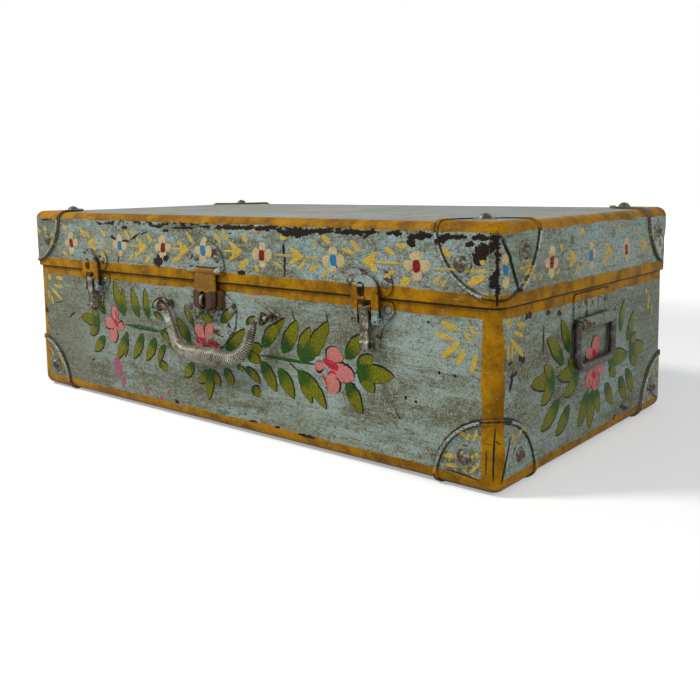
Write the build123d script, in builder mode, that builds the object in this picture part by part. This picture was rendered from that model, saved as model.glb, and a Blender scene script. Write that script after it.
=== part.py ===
from build123d import *
from math import cos, radians, sin, tan
import os

# A small hand-painted tin trunk: a pressed tray and a hinged lid of tinplate, with
# riveted corner caps, two draw catches, a hasp over a lock staple, a wire-wound front
# handle and a hanging bail handle at each end.
# Millimetres. X runs along the front, -Y is the front, +Z is up.
# The origin is the middle of the pressed bottom panel that the trunk stands on.

# ---- driving dimensions: tray and lid -----------------------------------------------
trunk_length = 450.0
trunk_width = 240.0
seam_height = 104.0
lid_height = 45.0
tin = 0.9
corner_radius = 8.0
bottom_edge_radius = 7.0
lid_edge_radius = 6.0
lid_overhang = 2.2
rim_step = 2.0
rim_height = 8.0
flange_reach = 0.8
flange_edge_round = 0.6
panel_margin = 55.0
panel_corner_radius = 12.0

# ---- driving dimensions: corner caps and rivets -------------------------------------
cap_sheet = 0.8
cap_reach = 42.0
cap_bead_width = 2.6
cap_bead_rise = 0.8
lid_flap_angle = 63.0
lid_flap_start = 5.0
lid_flap_wrap = 7.0
base_cap_rivet_in = 21.0
base_cap_rivet_up = 20.0
lid_cap_rivet_in = 22.0
lid_cap_rivet_down = 22.0
lid_side_rivet_down = 16.0
cap_boss_radius = 6.4
cap_boss_rise = 0.5
cap_head_radius = 4.5
cap_head_height = 3.2
small_head_radius = 2.8
small_head_height = 1.8
shank_radius = 1.5
rivet_clearance = 0.05
tail_radius = 2.5
dome_rings = (0.4, 0.78)
tail_height = 0.8

# ---- driving dimensions: rear hinges ------------------------------------------------
hinge_spacing = 270.0
hinge_length = 44.0
hinge_leaf_height = 19.0
hinge_leaf_sheet = 1.2
hinge_knuckle_radius = 2.6
hinge_pin_radius = 1.3
hinge_running_clearance = 0.06
hinge_side_gap = 0.3
hinge_wall_gap = 0.2
hinge_rivet_spacing = 26.0
hinge_rivet_from_axis = 12.0

# ---- driving dimensions: rivets at the lid's ends -----------------------------------
lid_end_rivet_middle = -8.5
lid_end_rivet_spacing = 60.0
lid_end_rivet_down = 13.5
lid_end_head_radius = 3.0
lid_end_head_height = 1.1

# ---- driving dimensions: hasp and lock ----------------------------------------------
hasp_x = -3.0
hasp_sheet = 1.2
hasp_plate_width = 35.0
hasp_axis_height = 111.5
hasp_plate_rivet_spacing = 21.0
hasp_plate_rivet_rise = 9.0
hasp_knuckle_radius = 2.1
hasp_pin_radius = 1.0
hasp_running_clearance = 0.06
hasp_knuckle_gap = 0.25
hasp_strap_width = 21.0
hasp_strap_drop = 27.5
hasp_boss_rise = 2.4
hasp_boss_height = 15.0
hasp_boss_taper = 30.0
hasp_corner_radius = 6.5
hasp_slot_width = 6.4
hasp_slot_height = 12.5
lock_sheet = 1.0
lock_plate_width = 53.0
lock_plate_top = 98.0
lock_plate_bottom = 58.5
lock_top_half_width = 12.0
lock_shoulder_drop = 9.0
lock_waist_in = 2.0
lock_toe_rise = 15.0
lock_toe_half_width = 11.0
lock_corner_radius = 7.0
lock_case_width = 31.0
lock_case_height = 14.0
lock_case_corner = 3.0
lock_case_taper = 20.0
lock_case_gap = 0.3
lock_rivet_in = 5.0
lock_rivet_drop = 13.0
staple_wire_radius = 1.1
staple_span = 7.0
staple_bend_radius = 2.2
staple_past_hasp = 2.6

# ---- driving dimensions: draw catches -----------------------------------------------
catch_spacing = 278.0
catch_sheet = 1.0
catch_plate_width = 35.0
catch_plate_top = 102.0
catch_plate_bottom = 73.5
catch_shoulder_drop = 6.5
catch_waist_drop = 16.0
catch_waist_half_width = 9.0
catch_toe_half_width = 6.5
catch_corner_radius = 3.0
catch_rivet_in = 4.4
catch_rivet_drop = 4.6
strike_width = 36.0
strike_height = 15.6
strike_lift = 1.0
strike_corner_radius = 7.0
strike_rivet_spacing = 26.0
lever_axis_height = 98.0
lever_axis_stand = 4.4
lever_width = 6.0
lever_sheet = 1.0
lever_length = 22.0
lever_curl_radius = 3.5
lever_curl_hole = 2.1
lever_curl_gap = 0.4
lever_side_gap = 0.3
catch_ear_sheet = 1.2
lever_lug_radius = 2.3
lever_top_rise = 1.0
catch_ear_radius = 2.4
catch_pin_past = 0.4
catch_pin_radius = 1.1
catch_running_clearance = 0.06
claw_throw = 7.5
claw_sheet = 1.2
claw_width = 19.6
claw_leg_width = 4.4
claw_rise = 27.0
claw_slot_width = 6.0
claw_slot_height = 8.8
claw_slot_shift = -2.6
claw_bar_height = 4.0
claw_window_bar = 1.6
nose_width = 4.8
nose_height = 3.4
nose_slot_gap = 0.5
nose_past_claw = 1.4
nose_taper = 12.0

# ---- driving dimensions: front handle -----------------------------------------------
front_handle_x = 5.0
handle_axis_height = 84.5
handle_axis_stand = 10.0
handle_pin_span = 114.0
handle_shoulder_span = 92.0
handle_grip_span = 68.0
handle_drop = 31.0
handle_rod_radius = 2.0
handle_end_grip_radius = 2.9
handle_mid_grip_radius = 6.2
handle_shoulder_radius = 6.0
handle_left_bend_radius = 18.0
handle_right_bend_radius = 26.0
handle_winding_start = 0.04
eye_wire_radius = 1.0
eye_gap = 0.5
eye_foot_radius = 3.6
eye_foot_sheet = 1.0
eye_neck_radius = 1.3
eye_from_pin_end = 4.5

# ---- driving dimensions: end handles ------------------------------------------------
end_handle_y = -6.0
end_plate_width = 52.0
end_plate_top = 101.5
end_plate_sheet = 1.2
end_axis_height = 83.0
end_rod_radius = 2.4
end_running_clearance = 0.08
end_knuckle_length = 46.0
end_knuckle_gap = 0.4
end_drop = 26.5
end_bend_radius = 7.0
end_pin_length = 15.0
end_pin_bend_radius = 2.7
end_plate_corner_radius = 2.0
end_rivet_spacing = 40.0
end_rivet_drop = 6.0

# ---- worked out from the driving dimensions -----------------------------------------
half_length = trunk_length / 2
half_width = trunk_width / 2
trunk_height = seam_height + lid_height
bead_lift = cap_sheet + cap_bead_rise
tray_floor = bead_lift
hinge_axis_y = half_width + lid_overhang + hinge_knuckle_radius + hinge_wall_gap
hasp_axis_stand = lid_overhang + hasp_knuckle_radius
hole_radius = shank_radius + rivet_clearance
standing = (Align.CENTER, Align.CENTER, Align.MIN)
outward = {"front": (0, -1), "back": (0, 1), "left": (-1, 0), "right": (1, 0)}

os.makedirs("parts", exist_ok=True)


def wall(side, stand_off=0.0, along=0.0, height=0.0):
    """A tray wall's outer face from outside: x to the right, y up, normal outwards."""
    out_x, out_y = outward[side]
    reach = abs(out_x) * half_length + abs(out_y) * half_width + stand_off
    origin = (out_x * reach - out_y * along, out_y * reach + out_x * along, height)
    return Plane(origin=origin, x_dir=(-out_y, out_x, 0), z_dir=(out_x, out_y, 0))


def save(piece, name):
    """Name a finished piece and write it out."""
    piece.label = name
    export_step(piece, f"parts/{name}.step")


# ---- tray and lid -------------------------------------------------------------------
def tin_block(grow, low, high, edge_radius, rounded_end):
    """A block with the trunk's plan, grown all round, with one end's edges rounded."""
    with BuildPart() as block:
        with BuildSketch(Plane.XY.offset(low)):
            RectangleRounded(trunk_length + 2 * grow, trunk_width + 2 * grow, corner_radius + grow)
        extrude(amount=high - low)
        fillet(block.faces().sort_by(Axis.Z)[rounded_end].edges(), edge_radius)
    return block.part


def plan_ring(low, high, outer_grow, inner_grow):
    """A straight band of the trunk's plan between two offsets from the tray wall."""
    with BuildPart() as band:
        with BuildSketch(Plane.XY.offset(low)):
            for grow, way in ((outer_grow, Mode.ADD), (inner_grow, Mode.SUBTRACT)):
                length = trunk_length + 2 * grow
                width = trunk_width + 2 * grow
                RectangleRounded(length, width, corner_radius + grow, mode=way)
        extrude(amount=high - low)
    return band.part


def pressed_panel(low, high, inset):
    """The bottom panel's own block, inset from its outline."""
    length = trunk_length - 2 * panel_margin - 2 * inset
    width = trunk_width - 2 * panel_margin - 2 * inset
    with BuildPart() as panel:
        with BuildSketch(Plane.XY.offset(low)):
            RectangleRounded(length, width, panel_corner_radius - inset)
        extrude(amount=high - low)
    return panel.part


base_block = tin_block(0, tray_floor, seam_height, bottom_edge_radius, 0)
lid_block = tin_block(lid_overhang, seam_height, trunk_height, lid_edge_radius, -1)

# Rivet seats: (plane of the sheet's outer face, sheets gripped inside it).
base_cap_seats = [
    wall(side, cap_sheet, sign * (half - base_cap_rivet_in), base_cap_rivet_up)
    for side, half in (
        ("front", half_length), ("back", half_length), ("left", half_width), ("right", half_width)
    )
    for sign in (-1, 1)
]
lid_cap_seats = [
    wall(side, lid_overhang + cap_sheet, sign * (half - lid_cap_rivet_in), trunk_height - drop)
    for side, half, drop in (
        ("front", half_length, lid_cap_rivet_down),
        ("back", half_length, lid_cap_rivet_down),
        ("left", half_width, lid_side_rivet_down),
        ("right", half_width, lid_side_rivet_down),
    )
    for sign in (-1, 1)
] + [
    Plane(
        origin=(
            x_sign * (half_length - lid_cap_rivet_in),
            y_sign * (half_width - lid_cap_rivet_in),
            trunk_height + cap_sheet,
        )
    )
    for x_sign in (-1, 1)
    for y_sign in (-1, 1)
]
hinge_centres = (-hinge_spacing / 2, hinge_spacing / 2)
hinge_rivets_along = [
    centre + sign * hinge_rivet_spacing / 2 for centre in hinge_centres for sign in (-1, 1)
]
hinge_base_seats = [
    wall("back", hinge_leaf_sheet, along, seam_height - hinge_rivet_from_axis)
    for along in hinge_rivets_along
]
hinge_lid_seats = [
    wall("back", lid_overhang + hinge_leaf_sheet, along, seam_height + hinge_rivet_from_axis)
    for along in hinge_rivets_along
]
hasp_seats = [
    wall(
        "front",
        lid_overhang + hasp_sheet,
        hasp_x + sign * hasp_plate_rivet_spacing / 2,
        hasp_axis_height + hasp_plate_rivet_rise,
    )
    for sign in (-1, 1)
]
lock_rivet_side = lock_plate_width / 2 - lock_rivet_in
lock_rivet_places = (
    (-lock_rivet_side, lock_plate_top - lock_rivet_drop),
    (lock_rivet_side, lock_plate_top - lock_rivet_drop),
    (0.0, lock_plate_bottom + lock_rivet_in),
)
lock_seats = [
    wall("front", lock_sheet, hasp_x + along, height) for along, height in lock_rivet_places
]
catch_centres = (-catch_spacing / 2, catch_spacing / 2)
catch_rivet_along = catch_plate_width / 2 - catch_rivet_in
catch_rivet_height = catch_plate_top - catch_rivet_drop
catch_seats = [
    wall("front", catch_sheet, centre + sign * catch_rivet_along, catch_rivet_height)
    for centre in catch_centres
    for sign in (-1, 1)
]
strike_middle = seam_height + strike_lift + strike_height / 2
strike_seats = [
    wall(
        "front",
        lid_overhang + catch_sheet,
        centre + sign * strike_rivet_spacing / 2,
        strike_middle,
    )
    for centre in catch_centres
    for sign in (-1, 1)
]
end_sides = {"left": -1, "right": 1}
lid_end_seats = [
    wall(
        side,
        lid_overhang,
        turn * lid_end_rivet_middle + sign * lid_end_rivet_spacing / 2,
        trunk_height - lid_end_rivet_down,
    )
    for side, turn in end_sides.items()
    for sign in (-1, 1)
]
end_seats = [
    wall(
        side,
        end_plate_sheet,
        turn * end_handle_y + sign * end_rivet_spacing / 2,
        end_plate_top - end_rivet_drop,
    )
    for side, turn in end_sides.items()
    for sign in (-1, 1)
]
eye_along = handle_pin_span / 2 - eye_from_pin_end
eye_seats = [
    wall("front", eye_foot_sheet, front_handle_x + sign * eye_along, handle_axis_height)
    for sign in (-1, 1)
]
base_seats = base_cap_seats + hinge_base_seats + lock_seats + catch_seats + end_seats
base_seats += eye_seats
lid_seats = lid_cap_seats + hinge_lid_seats + hasp_seats + strike_seats + lid_end_seats
hole_depth = 2 * (cap_sheet + hinge_leaf_sheet + tin)


def rivet_holes(seats):
    """Cut the rivet holes of the given seats in the part being built."""
    for seat in seats:
        with Locations(seat.location):
            Cylinder(hole_radius, 2 * hole_depth, mode=Mode.SUBTRACT)


with BuildPart() as base_tray:
    add(base_block)
    hollow_top = seam_height - tin
    add(
        tin_block(-tin, tray_floor + tin, hollow_top, bottom_edge_radius - tin, 0),
        mode=Mode.SUBTRACT,
    )
    mouth = -(rim_step + tin)
    with BuildSketch(Plane.XY.offset(hollow_top)):
        RectangleRounded(trunk_length + 2 * mouth, trunk_width + 2 * mouth, corner_radius + mouth)
    extrude(amount=tin, mode=Mode.SUBTRACT)
    add(plan_ring(seam_height - tin, seam_height + rim_height, -rim_step, mouth))
    add(pressed_panel(0, tray_floor, 0))
    add(pressed_panel(tin, tray_floor + tin, tin), mode=Mode.SUBTRACT)
    rivet_holes(base_seats)
save(base_tray.part, "base_tray")

with BuildPart() as lid_shell:
    add(lid_block)
    add(
        tin_block(
            lid_overhang - tin, seam_height + tin, trunk_height - tin, lid_edge_radius - tin, -1
        ),
        mode=Mode.SUBTRACT,
    )
    with BuildSketch(Plane.XY.offset(seam_height)):
        RectangleRounded(
            trunk_length - 2 * flange_reach,
            trunk_width - 2 * flange_reach,
            corner_radius - flange_reach,
        )
    extrude(amount=tin, mode=Mode.SUBTRACT)
    lower_face = lid_shell.faces().sort_by(Axis.Z)[0]
    fillet(lower_face.outer_wire().edges(), flange_edge_round)
    rivet_holes(lid_seats)
save(lid_shell.part, "lid_shell")


# ---- corner caps --------------------------------------------------------------------
def corner_cap(body_grow, edge_height, up, edge_radius, flap_angle, block, seats):
    """The cap of the front right corner: tin within a ball about it, beaded along its edge."""
    corner = (half_length + body_grow, -half_width - body_grow, edge_height)
    ball = Plane(origin=corner, x_dir=(1, -1, -up), z_dir=(1, 1, 0))
    with BuildPart() as cap:
        for inner, lift in ((0.0, cap_sheet), (cap_reach - cap_bead_width, bead_lift)):
            low, high = sorted((edge_height - up * lift, edge_height + up * 2 * cap_reach))
            with BuildPart(mode=Mode.PRIVATE) as skin:
                add(
                    tin_block(
                        body_grow + lift, low, high, edge_radius + lift, 0 if up > 0 else -1
                    )
                )
                add(block, mode=Mode.SUBTRACT)
                with Locations(ball.location):
                    Sphere(cap_reach, mode=Mode.INTERSECT)
                    if inner > 0:
                        Sphere(inner, mode=Mode.SUBTRACT)
            add(skin.part)
        if flap_angle < 90:
            side = wall("right", body_grow - lid_flap_wrap, -half_width - body_grow, edge_height)
            with BuildSketch(side):
                far = 2 * cap_reach
                slope = radians(flap_angle)
                with BuildLine():
                    Polyline(
                        (-2 * bead_lift, up * lid_flap_start),
                        (lid_flap_start / tan(slope), up * lid_flap_start),
                        (far * cos(slope), up * far * sin(slope)),
                        (-2 * bead_lift, up * far * sin(slope)),
                        close=True,
                    )
                make_face()
            extrude(amount=lid_flap_wrap + 2 * bead_lift, mode=Mode.SUBTRACT)
        for seat in seats:
            with Locations(seat.location):
                Cylinder(cap_boss_radius, cap_boss_rise, align=standing)
        for seat in seats:
            with Locations(seat.location):
                Cylinder(hole_radius, 2 * hole_depth, mode=Mode.SUBTRACT)
    return cap.part


def near_front_right(seats):
    """The seats on the front right corner."""
    return [s for s in seats if s.origin.X > half_length / 2 and s.origin.Y < -half_width / 2]


base_cap = corner_cap(
    0.0, tray_floor, 1, bottom_edge_radius, 90.0, base_block, near_front_right(base_cap_seats)
)
lid_cap = corner_cap(
    lid_overhang,
    trunk_height,
    -1,
    lid_edge_radius,
    lid_flap_angle,
    lid_block,
    near_front_right(lid_cap_seats),
)
for prefix, master in (("base_cap", base_cap), ("lid_cap", lid_cap)):
    front_left = mirror(master, about=Plane.YZ)
    save(master, f"{prefix}_front_right")
    save(front_left, f"{prefix}_front_left")
    save(mirror(master, about=Plane.XZ), f"{prefix}_back_right")
    save(mirror(front_left, about=Plane.XZ), f"{prefix}_back_left")


# ---- rivets -------------------------------------------------------------------------
def dome_height(radius, head_radius, head_height):
    """Height of a spherical head above its seat, at a radius from its middle."""
    sphere = (head_radius**2 + head_height**2) / (2 * head_height)
    return (sphere**2 - radius**2) ** 0.5 - (sphere - head_height)


def rivet(seat, head_radius, head_height, grip, rise=0.0):
    """A dome-headed rivet through the sheets below its seat, with a flat tail inside."""
    rings = [head_radius * share for share in dome_rings]
    dome = [(r, rise + dome_height(r, head_radius, head_height)) for r in rings]
    outline = [(0, rise + head_height), *dome, (head_radius, rise), (shank_radius, rise)]
    outline += [(shank_radius, -grip), (tail_radius, -grip)]
    outline += [(tail_radius, -grip - tail_height), (0, -grip - tail_height)]
    with BuildPart() as one:
        with BuildSketch(Plane(origin=seat.origin, x_dir=seat.x_dir, z_dir=-seat.y_dir)):
            with BuildLine():
                Polyline(*outline, close=True)
            make_face()
        revolve(axis=Axis(seat.origin, seat.z_dir))
    return one.part


def rivet_group(name, seats, head_radius, head_height, grip, rise=0.0):
    """One node of like rivets, each its own solid."""
    rivets = [rivet(seat, head_radius, head_height, grip, rise) for seat in seats]
    save(Compound(children=rivets), name)


for name, seats in (("base_cap_rivets", base_cap_seats), ("lid_cap_rivets", lid_cap_seats)):
    rivet_group(name, seats, cap_head_radius, cap_head_height, cap_sheet + tin, cap_boss_rise)
for name, seats, sheet in (
    ("hinge_base_rivets", hinge_base_seats, hinge_leaf_sheet),
    ("hinge_lid_rivets", hinge_lid_seats, hinge_leaf_sheet),
    ("hasp_rivets", hasp_seats, hasp_sheet),
    ("lock_rivets", lock_seats, lock_sheet),
    ("catch_rivets", catch_seats, catch_sheet),
    ("strike_rivets", strike_seats, catch_sheet),
    ("end_handle_rivets", end_seats, end_plate_sheet),
):
    rivet_group(name, seats, small_head_radius, small_head_height, sheet + tin)
rivet_group("lid_end_rivets", lid_end_seats, lid_end_head_radius, lid_end_head_height, tin)


# ---- rear hinges --------------------------------------------------------------------
def across(x):
    """An upright plane across the trunk at x: its x is the trunk's Y, its y is Z."""
    return Plane(origin=(x, 0, 0), x_dir=(0, 1, 0), z_dir=(1, 0, 0))


def knuckle_spans(count, length, gap):
    """(start, end) of each of count knuckles along a hinge, measured from its middle."""
    pitch = (length + gap) / count
    starts = [-length / 2 + i * pitch for i in range(count)]
    return [(start, start + pitch - gap) for start in starts]


def round_pin(middle, length, radius, y, z):
    """A plain pin along X with eased ends."""
    with BuildPart() as pin:
        with BuildSketch(across(middle - length / 2)):
            with Locations((y, z)):
                Circle(radius)
        extrude(amount=length)
        ends = pin.edges().filter_by(GeomType.CIRCLE)
        chamfer(ends, radius / 4)
    return pin.part


def hinge_leaf(centre, inner_y, upward, seats, spans):
    """A leaf: a plate riveted to its wall, joggled out to knuckles rolled round the pin."""
    outer_y = inner_y + hinge_leaf_sheet
    edge = seam_height + upward * hinge_leaf_height
    joggle = seam_height + upward * (hinge_knuckle_radius + hinge_leaf_sheet * 0.75)
    with BuildPart() as leaf:
        with BuildSketch(across(centre - hinge_length / 2)):
            with BuildLine():
                Polyline(
                    (inner_y, edge), (outer_y, edge), (outer_y, joggle), (inner_y, joggle),
                    close=True,
                )
            make_face()
        extrude(amount=hinge_length)
        for low, high in spans:
            with BuildSketch(across(centre + low)):
                with BuildLine():
                    Polyline(
                        (inner_y, joggle),
                        (outer_y, joggle),
                        (hinge_axis_y, seam_height + upward * hinge_knuckle_radius),
                        (hinge_axis_y - hinge_knuckle_radius, seam_height),
                        close=True,
                    )
                make_face()
                with Locations((hinge_axis_y, seam_height)):
                    Circle(hinge_knuckle_radius)
            extrude(amount=high - low)
        with BuildSketch(across(centre - hinge_length / 2)):
            with Locations((hinge_axis_y, seam_height)):
                Circle(hinge_pin_radius + hinge_running_clearance)
        extrude(amount=hinge_length, mode=Mode.SUBTRACT)
        rivet_holes(seats)
    return leaf.part


hinge_spans = knuckle_spans(5, hinge_length, hinge_side_gap)
for hand, centre in zip(("left", "right"), hinge_centres):
    base_leaf = hinge_leaf(centre, half_width, -1, hinge_base_seats, hinge_spans[0::2])
    lid_leaf = hinge_leaf(
        centre, half_width + lid_overhang, 1, hinge_lid_seats, hinge_spans[1::2]
    )
    pin = round_pin(
        centre, hinge_length + 2 * hinge_side_gap, hinge_pin_radius, hinge_axis_y, seam_height
    )
    save(base_leaf, f"hinge_base_leaf_{hand}")
    save(lid_leaf, f"hinge_lid_leaf_{hand}")
    save(pin, f"hinge_pin_{hand}")


# ---- hasp ---------------------------------------------------------------------------
hasp_axis_y = -(half_width + hasp_axis_stand)
hasp_plate_foot = hasp_axis_height + hasp_knuckle_radius + hasp_sheet / 2
side_knuckle = (hasp_plate_width - hasp_strap_width) / 2 - hasp_knuckle_gap
plate_inner_y = -(half_width + lid_overhang)


def pin_hole(middle, length, y, z, radius):
    """Bore the part being built along X."""
    with Locations(Plane(origin=(middle, y, z), z_dir=(1, 0, 0)).location):
        Cylinder(radius, length, mode=Mode.SUBTRACT)


with BuildPart() as hasp_plate:
    arch_radius = hasp_plate_width / 2
    with BuildSketch(wall("front", lid_overhang, hasp_x, hasp_plate_foot)):
        Circle(arch_radius)
        Rectangle(
            hasp_plate_width, arch_radius, align=(Align.CENTER, Align.MIN), mode=Mode.INTERSECT
        )
    extrude(amount=hasp_sheet)
    for start in (-hasp_plate_width / 2, hasp_plate_width / 2 - side_knuckle):
        with BuildSketch(across(hasp_x + start)):
            with BuildLine():
                Polyline(
                    (plate_inner_y, hasp_plate_foot),
                    (plate_inner_y - hasp_sheet, hasp_plate_foot),
                    (hasp_axis_y, hasp_axis_height + hasp_knuckle_radius),
                    (hasp_axis_y + hasp_knuckle_radius, hasp_axis_height),
                    close=True,
                )
            make_face()
            with Locations((hasp_axis_y, hasp_axis_height)):
                Circle(hasp_knuckle_radius)
        extrude(amount=side_knuckle)
    pin_hole(
        hasp_x,
        hasp_plate_width,
        hasp_axis_y,
        hasp_axis_height,
        hasp_pin_radius + hasp_running_clearance,
    )
    rivet_holes(hasp_seats)
save(hasp_plate.part, "hasp_plate")

save(
    round_pin(hasp_x, hasp_plate_width, hasp_pin_radius, hasp_axis_y, hasp_axis_height), "hasp_pin"
)

hasp_foot = hasp_axis_height - hasp_strap_drop
hasp_slot_middle = hasp_foot + hasp_boss_height / 2
with BuildPart() as hasp_strap:
    with BuildSketch(wall("front", hasp_axis_stand, hasp_x, hasp_axis_height)):
        Rectangle(hasp_strap_width, hasp_strap_drop, align=(Align.CENTER, Align.MAX))
    extrude(amount=hasp_sheet)
    lower_corners = hasp_strap.edges().filter_by(Axis.Y).group_by(Axis.Z)[0]
    fillet(lower_corners, hasp_corner_radius)
    boss_plane = wall("front", hasp_axis_stand + hasp_sheet, hasp_x, hasp_slot_middle)
    with BuildSketch(boss_plane):
        RectangleRounded(hasp_strap_width, hasp_boss_height, hasp_corner_radius)
    extrude(amount=hasp_boss_rise, taper=hasp_boss_taper)
    with BuildSketch(across(hasp_x - hasp_strap_width / 2)):
        with Locations((hasp_axis_y, hasp_axis_height)):
            Circle(hasp_knuckle_radius)
    extrude(amount=hasp_strap_width)
    pin_hole(
        hasp_x,
        hasp_strap_width,
        hasp_axis_y,
        hasp_axis_height,
        hasp_pin_radius + hasp_running_clearance,
    )
    with BuildSketch(wall("front", hasp_axis_stand, hasp_x, hasp_slot_middle)):
        SlotOverall(hasp_slot_height, hasp_slot_width, rotation=90)
    extrude(amount=2 * (hasp_sheet + hasp_boss_rise), both=True, mode=Mode.SUBTRACT)
save(hasp_strap.part, "hasp_strap")


# ---- lock plate, case and staple ----------------------------------------------------
def shield(half_outline, corner):
    """A face symmetrical about its upright middle line, with every corner rounded."""
    mirrored = [(-x, z) for x, z in reversed(half_outline)]
    with BuildSketch() as face:
        with BuildLine():
            Polyline(*half_outline, *mirrored, close=True)
        make_face()
        fillet(face.vertices(), corner)
    return face.sketch


with BuildPart() as lock_plate:
    with BuildSketch(wall("front", 0, hasp_x)):
        lock_half_width = lock_plate_width / 2
        lock_outline = [
            (lock_top_half_width, lock_plate_top),
            (lock_half_width, lock_plate_top - lock_shoulder_drop),
            (lock_half_width - lock_waist_in, lock_plate_bottom + lock_toe_rise),
            (lock_toe_half_width, lock_plate_bottom),
        ]
        add(shield(lock_outline, lock_corner_radius))
    extrude(amount=lock_sheet)
    rivet_holes(lock_seats)
save(lock_plate.part, "lock_plate")

lock_case_depth = hasp_axis_stand - lock_sheet - lock_case_gap
with BuildPart() as lock_case:
    with BuildSketch(wall("front", lock_sheet, hasp_x, hasp_slot_middle)):
        RectangleRounded(lock_case_width, lock_case_height, lock_case_corner)
    extrude(amount=lock_case_depth, taper=lock_case_taper)
save(lock_case.part, "lock_case")

with BuildPart() as lock_staple:
    staple_root = -(half_width + lock_sheet + lock_case_depth)
    staple_tip = hasp_axis_stand + hasp_sheet + hasp_boss_rise + staple_past_hasp
    staple_bar = -(half_width + staple_tip - staple_wire_radius)
    with BuildLine(across(hasp_x)) as staple_path:
        FilletPolyline(
            (staple_root, hasp_slot_middle + staple_span / 2),
            (staple_bar, hasp_slot_middle + staple_span / 2),
            (staple_bar, hasp_slot_middle - staple_span / 2),
            (staple_root, hasp_slot_middle - staple_span / 2),
            radius=staple_bend_radius,
        )
    with BuildSketch(Plane(origin=staple_path.line @ 0, z_dir=staple_path.line % 0)):
        Circle(staple_wire_radius)
    sweep(path=staple_path.line)
save(lock_staple.part, "lock_staple")


# ---- draw catches -------------------------------------------------------------------
lever_axis_y = -(half_width + lever_axis_stand)
claw_axis_height = lever_axis_height - claw_throw
lever_half = lever_width / 2
ear_inner = lever_half + lever_side_gap
ear_outer = ear_inner + catch_ear_sheet
claw_leg_inner = claw_width / 2 - claw_leg_width
claw_inner_y = lever_axis_y - catch_pin_radius
claw_eye_radius = catch_pin_radius + claw_sheet
catch_hole_radius = catch_pin_radius + catch_running_clearance
strike_face_y = -(half_width + lid_overhang + catch_sheet)
claw_top = claw_axis_height + claw_rise
claw_slot_top = claw_top - claw_bar_height
nose_top = claw_slot_top - nose_slot_gap


def catch_base(centre):
    """The shield-shaped base plate with two ears turned out for the lever's pin."""
    outline = [
        (catch_plate_width / 2, catch_plate_top),
        (catch_plate_width / 2, catch_plate_top - catch_shoulder_drop),
        (catch_waist_half_width, catch_plate_top - catch_waist_drop),
        (catch_toe_half_width, catch_plate_bottom),
    ]
    with BuildPart() as plate:
        with BuildSketch(wall("front", 0, centre)):
            add(shield(outline, catch_corner_radius))
        extrude(amount=catch_sheet)
        for start in (-ear_outer, ear_inner):
            with BuildSketch(across(centre + start)):
                with Locations((-(half_width + catch_sheet / 2), lever_axis_height)):
                    Rectangle(
                        lever_axis_stand - catch_sheet / 2,
                        2 * catch_ear_radius,
                        align=(Align.MAX, Align.CENTER),
                    )
                with Locations((lever_axis_y, lever_axis_height)):
                    Circle(catch_ear_radius)
            extrude(amount=catch_ear_sheet)
        pin_hole(centre, 2 * ear_outer, lever_axis_y, lever_axis_height, catch_hole_radius)
        rivet_holes(catch_seats)
    return plate.part


def catch_strike(centre):
    """The strike plate on the lid, with the nose that the claw's slot drops over."""
    with BuildPart() as plate:
        with BuildSketch(wall("front", lid_overhang, centre, strike_middle)):
            RectangleRounded(strike_width, strike_height, strike_corner_radius)
        extrude(amount=catch_sheet)
        nose_middle = nose_top - nose_height / 2
        nose_along = centre + claw_slot_shift
        nose_plane = wall("front", lid_overhang + catch_sheet, nose_along, nose_middle)
        nose_reach = strike_face_y - (claw_inner_y - claw_sheet) + nose_past_claw
        with BuildSketch(nose_plane):
            Rectangle(nose_width, nose_height)
        extrude(amount=nose_reach, taper=nose_taper)
        rivet_holes(strike_seats)
    return plate.part


def catch_lever(centre):
    """The lever: a strip with two lugs for its pins, curled over at the finger end."""
    strip_outer_y = lever_axis_y - lever_lug_radius - lever_sheet / 2
    curl_height = lever_axis_height - lever_length
    curl_y = -(half_width + catch_sheet + lever_curl_gap + lever_curl_radius)
    with BuildPart() as lever:
        with BuildSketch(across(centre - lever_half)):
            with Locations((strip_outer_y, lever_axis_height + lever_top_rise)):
                Rectangle(
                    lever_sheet, lever_length + lever_top_rise, align=(Align.MIN, Align.MAX)
                )
        extrude(amount=lever_width)
        with BuildSketch(across(centre - lever_half)):
            with Locations((curl_y, curl_height)):
                Circle(lever_curl_radius)
        extrude(amount=lever_width)
        for start in (-lever_half, lever_half - lever_sheet):
            with BuildSketch(across(centre + start)):
                with Locations((lever_axis_y, lever_axis_height), (lever_axis_y, claw_axis_height)):
                    Circle(lever_lug_radius)
                with Locations((lever_axis_y, (lever_axis_height + claw_axis_height) / 2)):
                    Rectangle(2 * lever_lug_radius, claw_throw)
            extrude(amount=lever_sheet)
        for height in (lever_axis_height, claw_axis_height):
            pin_hole(centre, lever_width, lever_axis_y, height, catch_hole_radius)
        pin_hole(centre, lever_width, curl_y, curl_height, lever_curl_hole)
    return lever.part


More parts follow.
